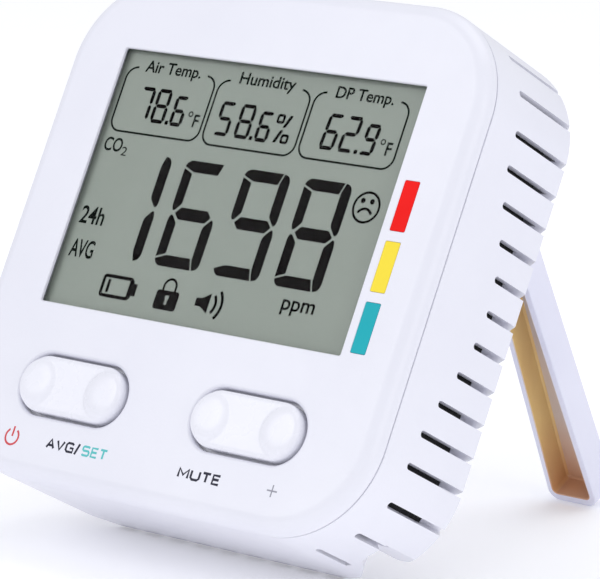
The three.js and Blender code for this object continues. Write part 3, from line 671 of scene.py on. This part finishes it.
def stroke(bm, line, width, y0, y1, closed=False, slot=0):
    """A line of even width."""
    count = len(line)
    left, right = [], []
    for i, (x, z) in enumerate(line):
        a = line[i - 1] if i or closed else line[i]
        b = line[(i + 1) % count] if i < count - 1 or closed else line[i]
        d = Vector((b[0] - a[0], b[1] - a[1])).normalized() * (width / 2)
        left.append((x - d.y, z + d.x))
        right.append((x + d.y, z - d.x))
    steps = count if closed else count - 1
    quads = [[bm.verts.new((x, y, z)) for x, z in side] for y in (y0, y1) for side in (left, right)]
    l0, r0, l1, r1 = quads
    faces = []
    for i in range(steps):
        j = (i + 1) % count
        for p, q in ((l0, r0), (r0, r1), (r1, l1), (l1, l0)):
            faces.append(bm.faces.new((p[i], p[j], q[j], q[i])))
    if not closed:
        faces.append(bm.faces.new((l0[0], r0[0], r1[0], l1[0])))
        faces.append(bm.faces.new((l0[-1], l1[-1], r1[-1], r0[-1])))
    for f in faces:
        f.material_index = slot


def arc(cx, cz, r, a0, a1, n=16):
    return [(cx + r * math.cos(math.radians(a0 + (a1 - a0) * k / n)),
             cz + r * math.sin(math.radians(a0 + (a1 - a0) * k / n))) for k in range(n + 1)]


def lettering(bm, words, x0, x1, z0, z1, y0, y1, slot=0, thicken=0.0):
    """Words in the built-in face, fitted into a box."""
    curve = bpy.data.curves.new("words", "FONT")
    curve.body = words
    curve.extrude = 0.5
    curve.offset = thicken
    curve.resolution_u = 6
    o = bpy.data.objects.new("words", curve)
    scene.collection.objects.link(o)
    graph = bpy.context.evaluated_depsgraph_get()
    graph.update()
    mesh = bpy.data.meshes.new_from_object(o.evaluated_get(graph))
    xs = [v.co.x for v in mesh.vertices]
    ys = [v.co.y for v in mesh.vertices]
    for v in mesh.vertices:
        u = (v.co.x - min(xs)) / (max(xs) - min(xs))
        w = (v.co.y - min(ys)) / (max(ys) - min(ys))
        v.co = (x0 + u * (x1 - x0), y0 if v.co.z > 0 else y1, z0 + w * (z1 - z0))
    for f in mesh.polygons:
        f.material_index = slot
    mesh.flip_normals()
    part = bmesh.new()
    part.from_mesh(mesh)
    clean(part)
    part.to_mesh(mesh)
    part.free()
    bm.from_mesh(mesh)
    bpy.data.objects.remove(o)
    bpy.data.curves.remove(curve)
    bpy.data.meshes.remove(mesh)


# The upper segments of the big leaning digits. The lower ones mirror them.
DIGIT_HEIGHT, DIGIT_FOOT = 26.1, -7.4
BIG = {
    "a": [(0, 24.5), (0.5, 25.4), (1.5, 26.1), (11.2, 26.1), (10.3, 23.3), (3.0, 23.3)],
    "b": [(11.6, 26.1), (12.8, 25.7), (13.4, 24.9), (13.6, 24.0), (13.6, 14.9), (13.3, 13.8), (12.7, 13.5),
          (11.0, 15.4), (10.8, 16.2), (10.8, 23.6)],
    "f": [(0, 24.0), (2.7, 22.9), (2.7, 15.5), (1.1, 13.7), (0.5, 13.6), (0.1, 14.4), (0, 15.2)],
    "g": [(1.5, 13.05), (2.9, 14.55), (10.9, 14.55), (12.3, 13.05), (10.9, 11.55), (2.9, 11.55)],
}
for upper, lower in (("a", "d"), ("b", "c"), ("f", "e")):
    BIG[lower] = [(x, DIGIT_HEIGHT - z) for x, z in BIG[upper]]
SEGMENTS = {"1": "bc", "2": "abged", "5": "afgcd", "6": "afgedc", "7": "abc", "8": "abcdefg", "9": "abfgcd"}


def big_digit(bm, digit, x, y0, y1):
    for s in SEGMENTS[digit]:
        polygon(bm, [(x + px, pz + DIGIT_FOOT) for px, pz in BIG[s]], y0, y1)


def small_digit(bm, digit, x0, x1, z0, z1, slant, y0, y1):
    """A seven segment digit in a box. Its top and bottom segments have widened ends."""
    t = 0.95
    left, right, low, high = x0 + t / 2, x1 - t / 2, z0 + t / 2, z1 - t / 2
    mid = (low + high) / 2
    ends = {"a": (left, high, right, high), "g": (left, mid, right, mid), "d": (left, low, right, low),
            "f": (left, mid, left, high), "b": (right, mid, right, high),
            "e": (left, low, left, mid), "c": (right, low, right, mid)}
    for s in SEGMENTS[digit]:
        ax, az, bx, bz = ends[s]
        d = Vector((bx - ax, bz - az)).normalized()
        n = Vector((-d.y, d.x))
        a, b = Vector((ax, az)) + d * 0.1, Vector((bx, bz)) - d * 0.1
        h = t / 2
        points = [a, a + d * h + n * h, b - d * h + n * h, b, b - d * h - n * h, a + d * h - n * h]
        if s in "ad":
            past = 0.21
            up = n * h * (1 if s == "a" else -1)
            points = [a - d * past, a + d * 0.1 + up, b - d * 0.1 + up, b + d * past, b - d * h - up,
                      a + d * h - up]
        polygon(bm, [(p.x + slant * (p.y - z0), p.y) for p in points], y0, y1)


# Big digits: figure, left edge.
BIG_DIGITS = [("1", -35.0), ("6", -17.1), ("9", 0.8), ("8", 18.7)]
# Small digits: figure, left, right, bottom, top, slant.
SMALL_DIGITS = [
    ("7", -37.6, -33.2, 26.4, 34.9, 0), ("8", -32.4, -28.0, 26.3, 34.9, 0),
    ("6", -26.4, -22.5, 26.2, 33.8, 0), ("5", -12.4, -8.0, 25.5, 34.0, 0),
    ("8", -6.3, -1.8, 25.5, 34.0, 0), ("6", -0.1, 3.9, 25.4, 32.9, 0),
    ("6", 18.9, 23.2, 25.8, 34.6, 0.07), ("2", 24.3, 28.7, 25.8, 34.6, 0.07),
    ("9", 30.5, 34.4, 25.8, 33.4, 0.07),
]
POINTS = [(-27.1, 26.8), (-1.0, 26.0), (29.7, 26.3)]
# Frames round the small readings: left, right, bottom, top.
FRAMES = [(-43.8, -16.4, 23.2, 39.4), (-15.2, 12.4, 23.0, 39.1), (13.6, 40.9, 23.2, 39.3)]
# Words: left, right, bottom, top, ink, thickening of the letters.
BOLD = 0.016
LABELS = [
    ("Air Temp.", -38.7, -21.5, 37.6, 41.5, 1, BOLD), ("Humidity", -9.6, 7.1, 37.7, 41.6, 1, BOLD),
    ("DP Temp.", 19.2, 35.9, 37.4, 41.2, 1, BOLD), ("CO", -43.5, -37.9, 18.0, 21.5, 1, BOLD),
    ("2", -37.7, -36.0, 17.3, 19.5, 1, 0), ("24h", -43.4, -36.0, -0.4, 4.0, 1, BOLD),
    ("AVG", -43.2, -35.9, -8.8, -4.3, 1, BOLD), ("ppm", 23.2, 32.6, -13.7, -10.0, 0, 0.012),
]


def reading_frame(bm, x0, x1, z0, z1, y0, y1):
    """A rounded frame that stays open along its top."""
    r = 3.0
    line = [(x0 + r, z1)] + arc(x0 + r, z1 - r, r, 90, 180)
    line += arc(x0 + r, z0 + r, r, 180, 270) + arc(x1 - r, z0 + r, r, 270, 360)
    line += arc(x1 - r, z1 - r, r, 0, 90) + [(x1 - r, z1)]
    distinct = [line[0]]
    for p in line[1:]:
        if math.dist(p, distinct[-1]) > 1e-6:
            distinct.append(p)
    stroke(bm, distinct, 0.5, y0, y1, slot=1)


def degree_sign(bm, x, z, y0, y1):
    stroke(bm, circle(0.58, x, z, 20), 0.3, y0, y1, True, 1)
    lettering(bm, "F", x + 1.3, x + 2.9, z - 3.1, z + 0.1, y0, y1, 1, BOLD)


def percent_sign(bm, y0, y1):
    """Two rings, and a bar in two parts."""
    low, half = 25.8, 0.45

    def middle(z):
        return 5.9 + (z - low) * 0.44
    for x, z in ((6.0, 31.6), (8.7, 26.9)):
        stroke(bm, rounded(0.85, 0.85, 0.3, x, z, 3), 0.65, y0, y1, True)
    for z0, z1 in ((29.6, 32.6), (low, 28.9)):
        foot, head = middle(z0), middle(z1)
        bar = [(foot - half, z0), (foot + half, z0), (head + half, z1), (head - half, z1)]
        polygon(bm, bar, y0, y1)


def battery_sign(bm, y0, y1):
    stroke(bm, rounded(4.3, 2.4, 0.6, -25.5, -14.2, 4), 0.85, y0, y1, True)
    cap = [(-21.9, -12.0), (-20.6, -12.0), (-20.6, -12.7), (-19.4, -12.7), (-19.4, -15.7), (-20.6, -15.7),
           (-20.6, -16.4), (-21.9, -16.4)]
    polygon(bm, cap, y0 - 0.004, y1)
    polygon(bm, rounded(0.42, 1.6, 0.15, -28.05, -14.2, 3), y0, y1)


def padlock_sign(bm, y0, y1):
    padlock(bm, rounded(3.4, 2.35, 0.8, LOCK_X, LOCK_Z, 5), y0, y1)
    shackle = arc(LOCK_X, -11.9, 1.8, 170, 10, 14)
    stroke(bm, [(-11.6, -13.1), (-11.6, -12.0), *shackle, (-8.0, -12.0), (-8.0, -13.1)], 0.6, y0, y1)


def speaker_sign(bm, y0, y1):
    horn = [(-1.2, -13.2), (0.4, -13.2), (2.8, -11.7), (2.8, -16.6), (0.4, -15.2), (-1.2, -15.2)]
    polygon(bm, horn, y0, y1)
    for r in (3.1, 4.9):
        stroke(bm, arc(1.6, -14.2, r, -42, 42), 0.75, y0, y1)


def sad_face(bm, y0, y1):
    stroke(bm, circle(3.55, 37.6, 13.9, 40), 0.6, y0, y1, True)
    for x in (36.2, 38.8):
        polygon(bm, circle(0.65, x, 15.4, 18), y0, y1)
    stroke(bm, arc(37.55, 11.4, 2.15, 28, 152), 0.65, y0, y1)


def display_marks():
    """Everything that the display shows, as thin ink on its face."""
    ink_depths = (LCD_FACE - 0.03, LCD_FACE + 0.02)

    def draw(bm):
        for figure, x in BIG_DIGITS:
            big_digit(bm, figure, x, *ink_depths)
        for digit in SMALL_DIGITS:
            small_digit(bm, *digit, *ink_depths)
        for x, z in POINTS:
            polygon(bm, rounded(0.5, 0.5, 0.2, x, z, 3), *ink_depths)
        for sides in FRAMES:
            reading_frame(bm, *sides, *ink_depths)
        for words, x0, x1, z0, z1, slot, thicken in LABELS:
            lettering(bm, words, x0, x1, z0, z1, *ink_depths, slot, thicken)
        for x, z in ((-20.6, 29.7), (36.5, 29.5)):
            degree_sign(bm, x, z, *ink_depths)
        for sign in (percent_sign, battery_sign, padlock_sign, speaker_sign, sad_face):
            sign(bm, *ink_depths)
    o = solid(draw)
    piece(o, "lcd_marks", "case", [INK, LINE_INK], weighted=False)


LOCK_X, LOCK_Z = -9.8, -15.25
KEYHOLE_Z, KEYHOLE_RADIUS, KEYHOLE_FOOT = -14.6, 0.62, -16.3


def padlock(bm, body, y0, y1):
    """The padlock's body, in two halves that meet above and below the open keyhole."""
    ring = []
    for k in range(25):
        a = math.radians(-62 + 304 * k / 24)
        ring.append((LOCK_X + KEYHOLE_RADIUS * math.cos(a), KEYHOLE_Z + KEYHOLE_RADIUS * math.sin(a)))
    hole = ring + [(LOCK_X - 0.45, KEYHOLE_FOOT), (LOCK_X + 0.45, KEYHOLE_FOOT)]
    top, bottom = -12.9, -17.6
    hole_top = KEYHOLE_Z + KEYHOLE_RADIUS

    def turn(p):
        return math.atan2(p[1] - LOCK_Z, p[0] - LOCK_X)
    left = sorted((p for p in body if p[0] < LOCK_X), key=lambda p: turn(p) % (2 * math.pi))
    right = sorted((p for p in body if p[0] >= LOCK_X), key=turn)
    hole_left = sorted((p for p in hole if p[0] < LOCK_X - 0.0001), key=lambda p: p[1])
    hole_right = sorted((p for p in hole if p[0] > LOCK_X + 0.0001), key=lambda p: -p[1])
    polygon(bm, [(LOCK_X, top), *left, (LOCK_X, bottom), (LOCK_X, KEYHOLE_FOOT), *hole_left,
                 (LOCK_X, hole_top)], y0, y1)
    polygon(bm, [(LOCK_X, bottom), *right, (LOCK_X, top), (LOCK_X, hole_top), *hole_right,
                 (LOCK_X, KEYHOLE_FOOT)], y0, y1)


# Plain wide capitals: their width, then their lines in a box one unit wide and high.
CAPITALS = {
    "A": (1.15, [[(0, 0), (0.5, 1), (1, 0)], [(0.2, 0.32), (0.8, 0.32)]]),
    "E": (0.9, [[(1, 1), (0, 1), (0, 0), (1, 0)], [(0, 0.52), (0.9, 0.52)]]),
    "G": (1.15, [[(0.98, 0.84), (0.8, 1), (0.2, 1), (0, 0.8), (0, 0.2), (0.2, 0), (1, 0), (1, 0.46),
                  (0.55, 0.46)]]),
    "M": (1.2, [[(0, 0), (0, 1), (0.5, 0.3), (1, 1), (1, 0)]]),
    "S": (1.0, [[(0.97, 0.88), (0.85, 1), (0.12, 1), (0, 0.88), (0, 0.64), (0.12, 0.52), (0.88, 0.52),
                 (1, 0.4), (1, 0.12), (0.88, 0), (0.12, 0), (0.02, 0.12)]]),
    "T": (1.0, [[(0, 1), (1, 1)], [(0.5, 1), (0.5, 0)]]),
    "U": (1.1, [[(0, 1), (0, 0.2), (0.2, 0), (0.8, 0), (1, 0.2), (1, 1)]]),
    "V": (1.15, [[(0, 1), (0.5, 0), (1, 1)]]),
    "/": (0.6, [[(0, -0.14), (1, 1.14)]]),
}


def capitals(bm, word, x0, x1, z0, z1, weight, slot, y0, y1):
    """A word in plain capitals, fitted into a box."""
    space = 0.12
    total = sum(CAPITALS[c][0] for c in word) + space * (len(word) - 1)
    unit, half = (x1 - x0) / total, weight / 2
    high = z1 - z0 - weight
    lift = 0  # keeps the faces of crossing strokes apart
    for letter in word:
        width, lines = CAPITALS[letter]
        wide = width * unit - weight
        for line in lines:
            shape = [(x0 + half + u * wide, z0 + half + w * high) for u, w in line]
            stroke(bm, shape, weight, y0 + lift, y1, slot=slot)
            lift = 0.002 - lift
        x0 += (width + space) * unit


# Printed words: left, right, bottom, top, stroke width, ink.
PRINTED = [
    ("AVG/", -28.7, -18.5, -55.1, -52.5, 0.56, 0), ("SET", -17.7, -10.0, -55.1, -52.5, 0.52, 1),
    ("MUTE", 11.5, 23.9, -55.2, -52.6, 0.58, 0),
]
PRINT_INKS = [PRINT_DARK, PRINT_TEAL, PRINT_RED, PRINT_GREY]


def face_print():
    """Generic words and signs printed on the front face."""
    y0, y1 = -0.03, 0.03
    power_x, power_z, plus_x, plus_z, plus_half = -39.6, -54.1, 38.7, -53.6, 1.4

    def draw(bm):
        for word in PRINTED:
            capitals(bm, *word, y0, y1)
        stroke(bm, arc(power_x, power_z, 1.95, 125, 415, 28), 0.5, y0, y1, slot=2)
        stroke(bm, [(power_x, -51.6), (power_x, -54.0)], 0.5, y0, y1, slot=2)
        stroke(bm, [(plus_x - plus_half, plus_z), (plus_x + plus_half, plus_z)], 0.34, y0, y1, slot=3)
        upright = [(plus_x, plus_z + plus_half), (plus_x, plus_z - plus_half)]
        stroke(bm, upright, 0.34, y0 + 0.004, y1, slot=3)
    o = solid(draw)
    piece(o, "face_print", "case", PRINT_INKS, weighted=False)


window()
panel()
display_marks()
face_print()

for row, (name, paint) in enumerate((("red", RED), ("yellow", YELLOW), ("teal", TEAL))):
    shape = mark_outline(row, 0.06)
    o = slab(shape, [(-0.14, -0.02), (-0.04, 0.0), (0, 0.1), (0, 0.36)])
    piece(o, "level_" + name, "case", [paint], ["mark_" + name])
print("display made")

# ---------------- keys
def key_cap(side, word):
    """A cap with round ends and two finger bumps. Its rings of points run in to its middle line."""
    half_x, half_z, edge_round = KEY_HALF_X - 0.8, KEY_HALF_Z - 0.8, 1.1
    insets = [0, 0.08, 0.2, 0.4, 0.6, 0.85, edge_round]
    insets += [edge_round + 0.3 * k for k in range(1, 19)] + [half_z]
    straight, n = 58, 40

    def ring(inset, y):
        """One ring of points, at a depth or, where that is None, on the cap's surface."""
        r = half_z - inset
        reach = half_x - half_z
        points = []
        for k in range(n + 1):
            a = math.radians(-90 + 180 * k / n)
            points.append((reach + r * math.cos(a), r * math.sin(a)))
        points += [(reach - 2 * reach * k / straight, r) for k in range(1, straight)]
        for k in range(n + 1):
            a = math.radians(90 + 180 * k / n)
            points.append((-reach + r * math.cos(a), r * math.sin(a)))
        points += [(-reach + 2 * reach * k / straight, -r) for k in range(1, straight)]
        depths = [surface(x, z, inset) if y is None else y for x, z in points]
        return [(side * KEY_X + x, depth, KEY_Z + z) for (x, z), depth in zip(points, depths)]

    def surface(x, z, inset):
        edge = min(inset / edge_round, 1)
        y = -edge_round * math.sqrt(max(1 - (1 - edge) ** 2, 0))
        for end in SIDES:
            d = math.hypot(x - end * BUMP_X, z) / BUMP_RADIUS
            if d < 1:
                y -= BUMP_HEIGHT * (1 - d ** 5) ** 1.1
        return y

    def draw(bm):
        rings = [ring(1.0, 3.2), ring(0.0, 3.2), ring(0.0, 0.3)] + [ring(i, None) for i in insets]
        loft(bm, rings, close=False)
        bmesh.ops.remove_doubles(bm, verts=bm.verts, dist=1e-4)
        bmesh.ops.holes_fill(bm, edges=[e for e in bm.edges if e.is_boundary], sides=400)
    o = solid(draw)
    flange = rounded(half_x + 1.8, half_z + 1.8, half_z + 1.799, side * KEY_X, KEY_Z, 20)
    extras = [slab(flange, [(0, 3.0), (0, 4.0)])]
    extras.append(block(side * KEY_X - 2.4, side * KEY_X + 2.4, 3.5, 8.3, KEY_Z - 9, KEY_Z + 9))
    for end in SIDES:
        x = side * KEY_X + end * BUMP_X
        extras.append(block(x - 1.2, x + 1.2, 3.5, 6.4, KEY_Z - 1.2, KEY_Z + 1.2))
    combine(o, extras, "UNION")
    combine(o, [key_pivot_hole(side)])
    piece(o, word + "_key_cap", word + "_key", [CAP], [word + "_key"], angle=50)


for side, word in ((-1, "left"), (1, "right")):
    key_cap(side, word)
print("keys made")

# ---------------- battery door
def battery_door():
    """The door with its hinge rod, finger ribs and two stiffening ribs inside."""
    hinge_z, top = DOOR_HINGE_Z, DOOR_TOP
    shape = rounded(DOOR_HALF_X, (top - hinge_z) / 2, 0.9, 0, (top + hinge_z) / 2, 6)
    profile = [(0, DEPTH - 1.8), (0, DEPTH - 0.35), (-0.1, DEPTH - 0.1), (-0.35, DEPTH)]
    o = slab(shape, profile)
    extras = [rod("x", 0.9, -DOOR_HALF_X, DOOR_HALF_X, (DEPTH - 0.9, hinge_z), 32)]
    for i in range(5):
        z = top - 13 + i * 2
        rib = rounded(7, 0.55, 0.549, 0, z, 8)
        rib_profile = [(0, DEPTH - 0.5), (0, DEPTH + 0.1), (-0.12, DEPTH + 0.35), (-0.3, DEPTH + 0.5)]
        extras.append(slab(rib, rib_profile))
    for s in SIDES:
        extras.append(block(s * 22 - 0.6, s * 22 + 0.6, DEPTH - 3.4, DEPTH - 1, hinge_z + 6, top - 6))
    combine(o, extras, "UNION")
    piece(o, "door_cover", "battery_door", [WHITE], ["battery_door"])


battery_door()

# ---------------- cells
CELL_PITCH, CELL_Y, CELL_FOOT_Z = 15.1, 33.1, -55.0
# Each section of a cell: radius, height, and the material of the band above it.
CELL_SECTIONS = [(6.3, 0, 1), (6.7, 0.1, 1), (7.0, 0.45, 0), (7.05, 0.9, 0), (7.05, 36, 2), (7.05, 48.2, 0),
                 (6.9, 48.8, 1), (6.4, 49.1, 1), (2.7, 49.2, 1), (2.7, 50, 1), (2.4, 50.2, 1)]


def wrapped_cell(number):
    """A dry cell: a printed sleeve with a copper band, and bright ends."""
    x = (number - 2) * CELL_PITCH

    def draw(bm):
        count = 40
        rings = []
        for r, up, _ in CELL_SECTIONS:
            rings.append([(u, v, CELL_FOOT_Z + up) for u, v in circle(r, x, CELL_Y, count)])
        faces = loft(bm, rings, slot=1)
        for i, (_, _, slot) in enumerate(CELL_SECTIONS[:-1]):
            for f in faces[i * count:(i + 1) * count]:
                f.material_index = slot
    paints = [SLEEVE, STEEL, BAND]
    piece(solid(draw), f"cell_{number}_wrapped", "case", paints, [f"cell_{number}"])


for number in (1, 2, 3):
    wrapped_cell(number)

# ---------------- folding stand
# The leg's length is how far its foot's front edge reaches down to the table from the hinge.
inverse = STAND_PLACE.inverted()
cad_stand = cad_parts["stand"]
LEG_LENGTH = -min((inverse @ (cad_stand.matrix_world @ v.co)).z for v in cad_stand.data.vertices)


def leg_outline(side, shrink, end_wall):
    """A leg, or with shrink the hollow in it: narrow at the cross bar, wide at the foot."""
    top, foot, r = 4.4 - shrink, 7.1 - shrink, 3 - min(shrink, 2)
    end, start, x = -LEG_LENGTH + end_wall, (-9 if shrink else 0), side * LEG_X
    points = [(x + top, start), (x - top, start)]
    points += arc(x - foot + r, end + r, r, 180, 270, 10) + arc(x + foot - r, end + r, r, 270, 360, 10)
    return points


def stand():
    """Two hollow legs on a cross bar, bored at its ends for the hinge pins."""
    half, soft = 4.2, 0.55
    shaped = [(-soft, -half), (-soft * 0.3, -half + soft * 0.3), (0, -half + soft), (0, half - soft),
              (-soft * 0.3, half - soft * 0.3), (-soft, half)]
    legs, hollows = [], []
    for s in SIDES:
        outline = leg_outline(s, 0, 0)
        legs.append(slab(outline, shaped))
        inner = leg_outline(s, 1.8, 2.4)
        rim = [(0.35, -half - 2), (0.35, -half), (0.1, -half + 0.1), (0, -half + 0.35), (0, half - 2.3),
               (-0.5, half - 1.8)]
        hollows.append(slab(inner, rim, 1))
    reach = 42.4
    combine(legs[0], [legs[1]], "UNION")
    combine(legs[0], hollows)
    combine(legs[0], [rod("x", half - 0.05, -reach, reach, (0, 0), 48, 0.4)], "UNION")
    combine(legs[0], [rod("x", 1.8, start, start + 7, (0, 0)) for start in (-reach - 1, reach - 6)])
    o = legs[0]
    piece(o, "stand_frame", "stand", [LEG, HOLLOW_PAINTED_LIGHT], ["stand"], place=STAND_PLACE)


stand()
print("stand made")

# ---------------- power inlet, vent screens, screws and pins
def inlet():
    shape = rounded(INLET_HALF, INLET_HALF, 1.0, INLET_Y, INLET_Z, 6)

    def draw(bm):
        rings = []
        for g, x in ((-0.3, 0.4), (-0.08, 0.5), (0, 0.8), (0, 13)):
            rings.append([(-HALF_X + x, y, z) for y, z in grown(shape, g)])
        loft(bm, rings)
    o = solid(draw)
    combine(o, [rod("x", 3.1, -HALF_X - 1, -HALF_X + 10, (INLET_Y, INLET_Z), 40)])
    piece(o, "inlet_body", "case", [BLACK], ["power_inlet"])
    pin = rod("x", 1, -HALF_X + 2, -HALF_X + 9.7, (INLET_Y, INLET_Z), 24, 0.4)
    piece(pin, "inlet_contact", "case", [STEEL], ["inlet_pin"])


def vent_screen(side):
    """A dark dust screen behind the vents of one side, with room left for the inlet."""
    off, start, end = WALL + GAP, 12.4, 30.5
    outer = rounded(HALF_X - off, HALF_Z - off, CORNER - off, n=16)
    inner = grown(outer, -0.5)
    reach = HALF_X - CORNER + (CORNER - off) * math.cos(math.radians(62))
    order = sorted((i for i in range(len(outer)) if side * outer[i][0] > reach), key=lambda i: outer[i][1])
    ring = [outer[i] for i in order] + [inner[i] for i in order[::-1]]
    o = solid(lambda bm: loft(bm, [[(x, y, z) for x, z in ring] for y in (start, end)]))
    tools = [finger_scoop(side, off)]
    if side < 0:
        room = INLET_HALF + 1
        tools.append(block(-FAR, 0, INLET_Y - room, BEHIND, INLET_Z - room, INLET_Z + room))
    combine(o, tools)
    word = "left" if side < 0 else "right"
    piece(o, "dust_mesh_" + word, "case", [FOAM], ["vent_screen_" + word])


inlet()
for side in SIDES:
    vent_screen(side)


def screw(name, x, z, tip, head, shank, radius):
    """A pan head screw with a cross recess and a turned shank."""
    def draw(bm):
        rings = []
        steps = int((head - tip) / 0.35)
        for k in range(steps):
            y = tip + (head - tip) * k / steps
            r = shank * (0.72 if k % 2 else 1.0) * min(1, 0.4 + k / 3)
            rings.append([(u, y, v) for u, v in circle(r, x, z, 24)])
        for r, y in ((shank, head - 0.1), (radius - 0.1, head), (radius, head + 0.15), (radius, head + 0.7),
                     (radius * 0.86, head + 1.15), (radius * 0.5, head + 1.38)):
            rings.append([(u, y, v) for u, v in circle(r, x, z, 24)])
        loft(bm, rings)
    o = solid(draw)
    a, b = 0.52 * radius, 0.13 * radius
    low, high = head + 0.5, head + 3
    combine(o, [block(x - a, x + a, low, high, z - b, z + b), block(x - b, x + b, low, high, z - a, z + a)])
    piece(o, name + "_turned", "case", [STEEL], [name])


for i, (x, z) in enumerate(CASE_SCREWS):
    screw(f"case_screw_{i + 1}", x, z, 8, 20.3, 1.1, 2.7)

for s, word in zip(SIDES, ("left", "right")):
    inner_end, length = 36.8, 9
    start = -inner_end - length if s < 0 else inner_end
    made = rod("x", 1.5, start, start + length, (HINGE_Y, HINGE_Z), 24, 0.3)
    piece(made, f"hinge_pin_{word}", "case", [STEEL], [f"stand_pin_{word}"])

# ---------------- materials of the CAD pieces that stay
STAYING = {
    "lcd_holder": INNER, "lcd_contact_strip": RUBBER, "left_key_pin": STEEL, "right_key_pin": STEEL,
    "main_board": BOARD, "controller_chip": BLACK, "buzzer": BLACK, "humidity_sensor": FILTER,
    "gas_cell": GOLD, "gas_cell_lamp": LAMP, "gas_detector": STEEL, "gas_inlet_filter": FILTER,
    "cell_contact_plate": STEEL,
}
for name in ("power", "set", "mute", "plus"):
    STAYING["switch_" + name] = BLACK
for i in range(1, 5):
    STAYING[f"board_screw_{i}"] = STEEL
for i in range(1, 4):
    STAYING[f"cell_spring_{i}"] = STEEL
for name, paint in STAYING.items():
    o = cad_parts[name]
    for slot in o.material_slots:
        slot.material = paint

# ---------------- floor, light and camera
def floor():
    """A pale floor that shines a little, so that it blends into the background."""
    bm = bmesh.new()
    bmesh.ops.create_grid(bm, x_segments=8, y_segments=8, size=6)
    mesh = bpy.data.meshes.new("floor")
    bm.to_mesh(mesh)
    bm.free()
    p = Paint("floor_pale")
    drift = p.between(p.noise(3, 3), 0, 1)
    p.link(p.mix(drift, linear((250, 250, 252)), linear((252, 252, 254))), p.shader.inputs["Base Color"])
    p.shader.inputs["Roughness"].default_value = 0.7
    p.shader.inputs["Emission Color"].default_value = (1, 1, 1, 1)
    p.shader.inputs["Emission Strength"].default_value = 0.14
    mesh.materials.append(p.material)
    o = bpy.data.objects.new("floor", mesh)
    scene.collection.objects.link(o)


def softbox(name, at, target, size, power):
    light = bpy.data.lights.new(name, "AREA")
    light.shape = "RECTANGLE"
    light.size, light.size_y = size
    light.energy = power
    o = bpy.data.objects.new(name, light)
    o.location = at
    o.rotation_euler = (Vector(target) - Vector(at)).to_track_quat("-Z", "Y").to_euler()
    scene.collection.objects.link(o)


floor()
world = bpy.data.worlds.new("studio")
scene.world = world
world.use_nodes = True
background = world.node_tree.nodes["Background"]
background.inputs["Color"].default_value = (0.95, 0.965, 1.0, 1)
background.inputs["Strength"].default_value = 0.74
centre = (0, 0, 0.07)
softbox("key_light", (-0.7, -1.1, 1.1), centre, (0.9, 0.9), 4.7)
softbox("side_light", (1.4, -0.3, 0.7), centre, (0.8, 1.2), 3.4)
softbox("top_light", (0.1, 0.5, 1.5), centre, (1.2, 1.2), 4.6)

# The camera was solved from the photo: where it stands from the front face's middle, and how it is turned.
EYE_FROM_FACE = Vector((0.54151, -0.6317673, 0.1719494))
EYE_ANGLES = (77.4807, 0.0396, 39.1606)
camera = bpy.data.cameras.new("camera")
camera.sensor_width = 36
camera.lens = 222.967
camera.shift_x = -0.0076
camera.shift_y = 0.00973
camera.clip_end = 50
eye = bpy.data.objects.new("camera", camera)
eye.location = PLACE @ Vector((0, 0, 0)) + EYE_FROM_FACE
eye.rotation_euler = [math.radians(a) for a in EYE_ANGLES]
scene.collection.objects.link(eye)
scene.camera = eye
scene.view_settings.view_transform = "Standard"
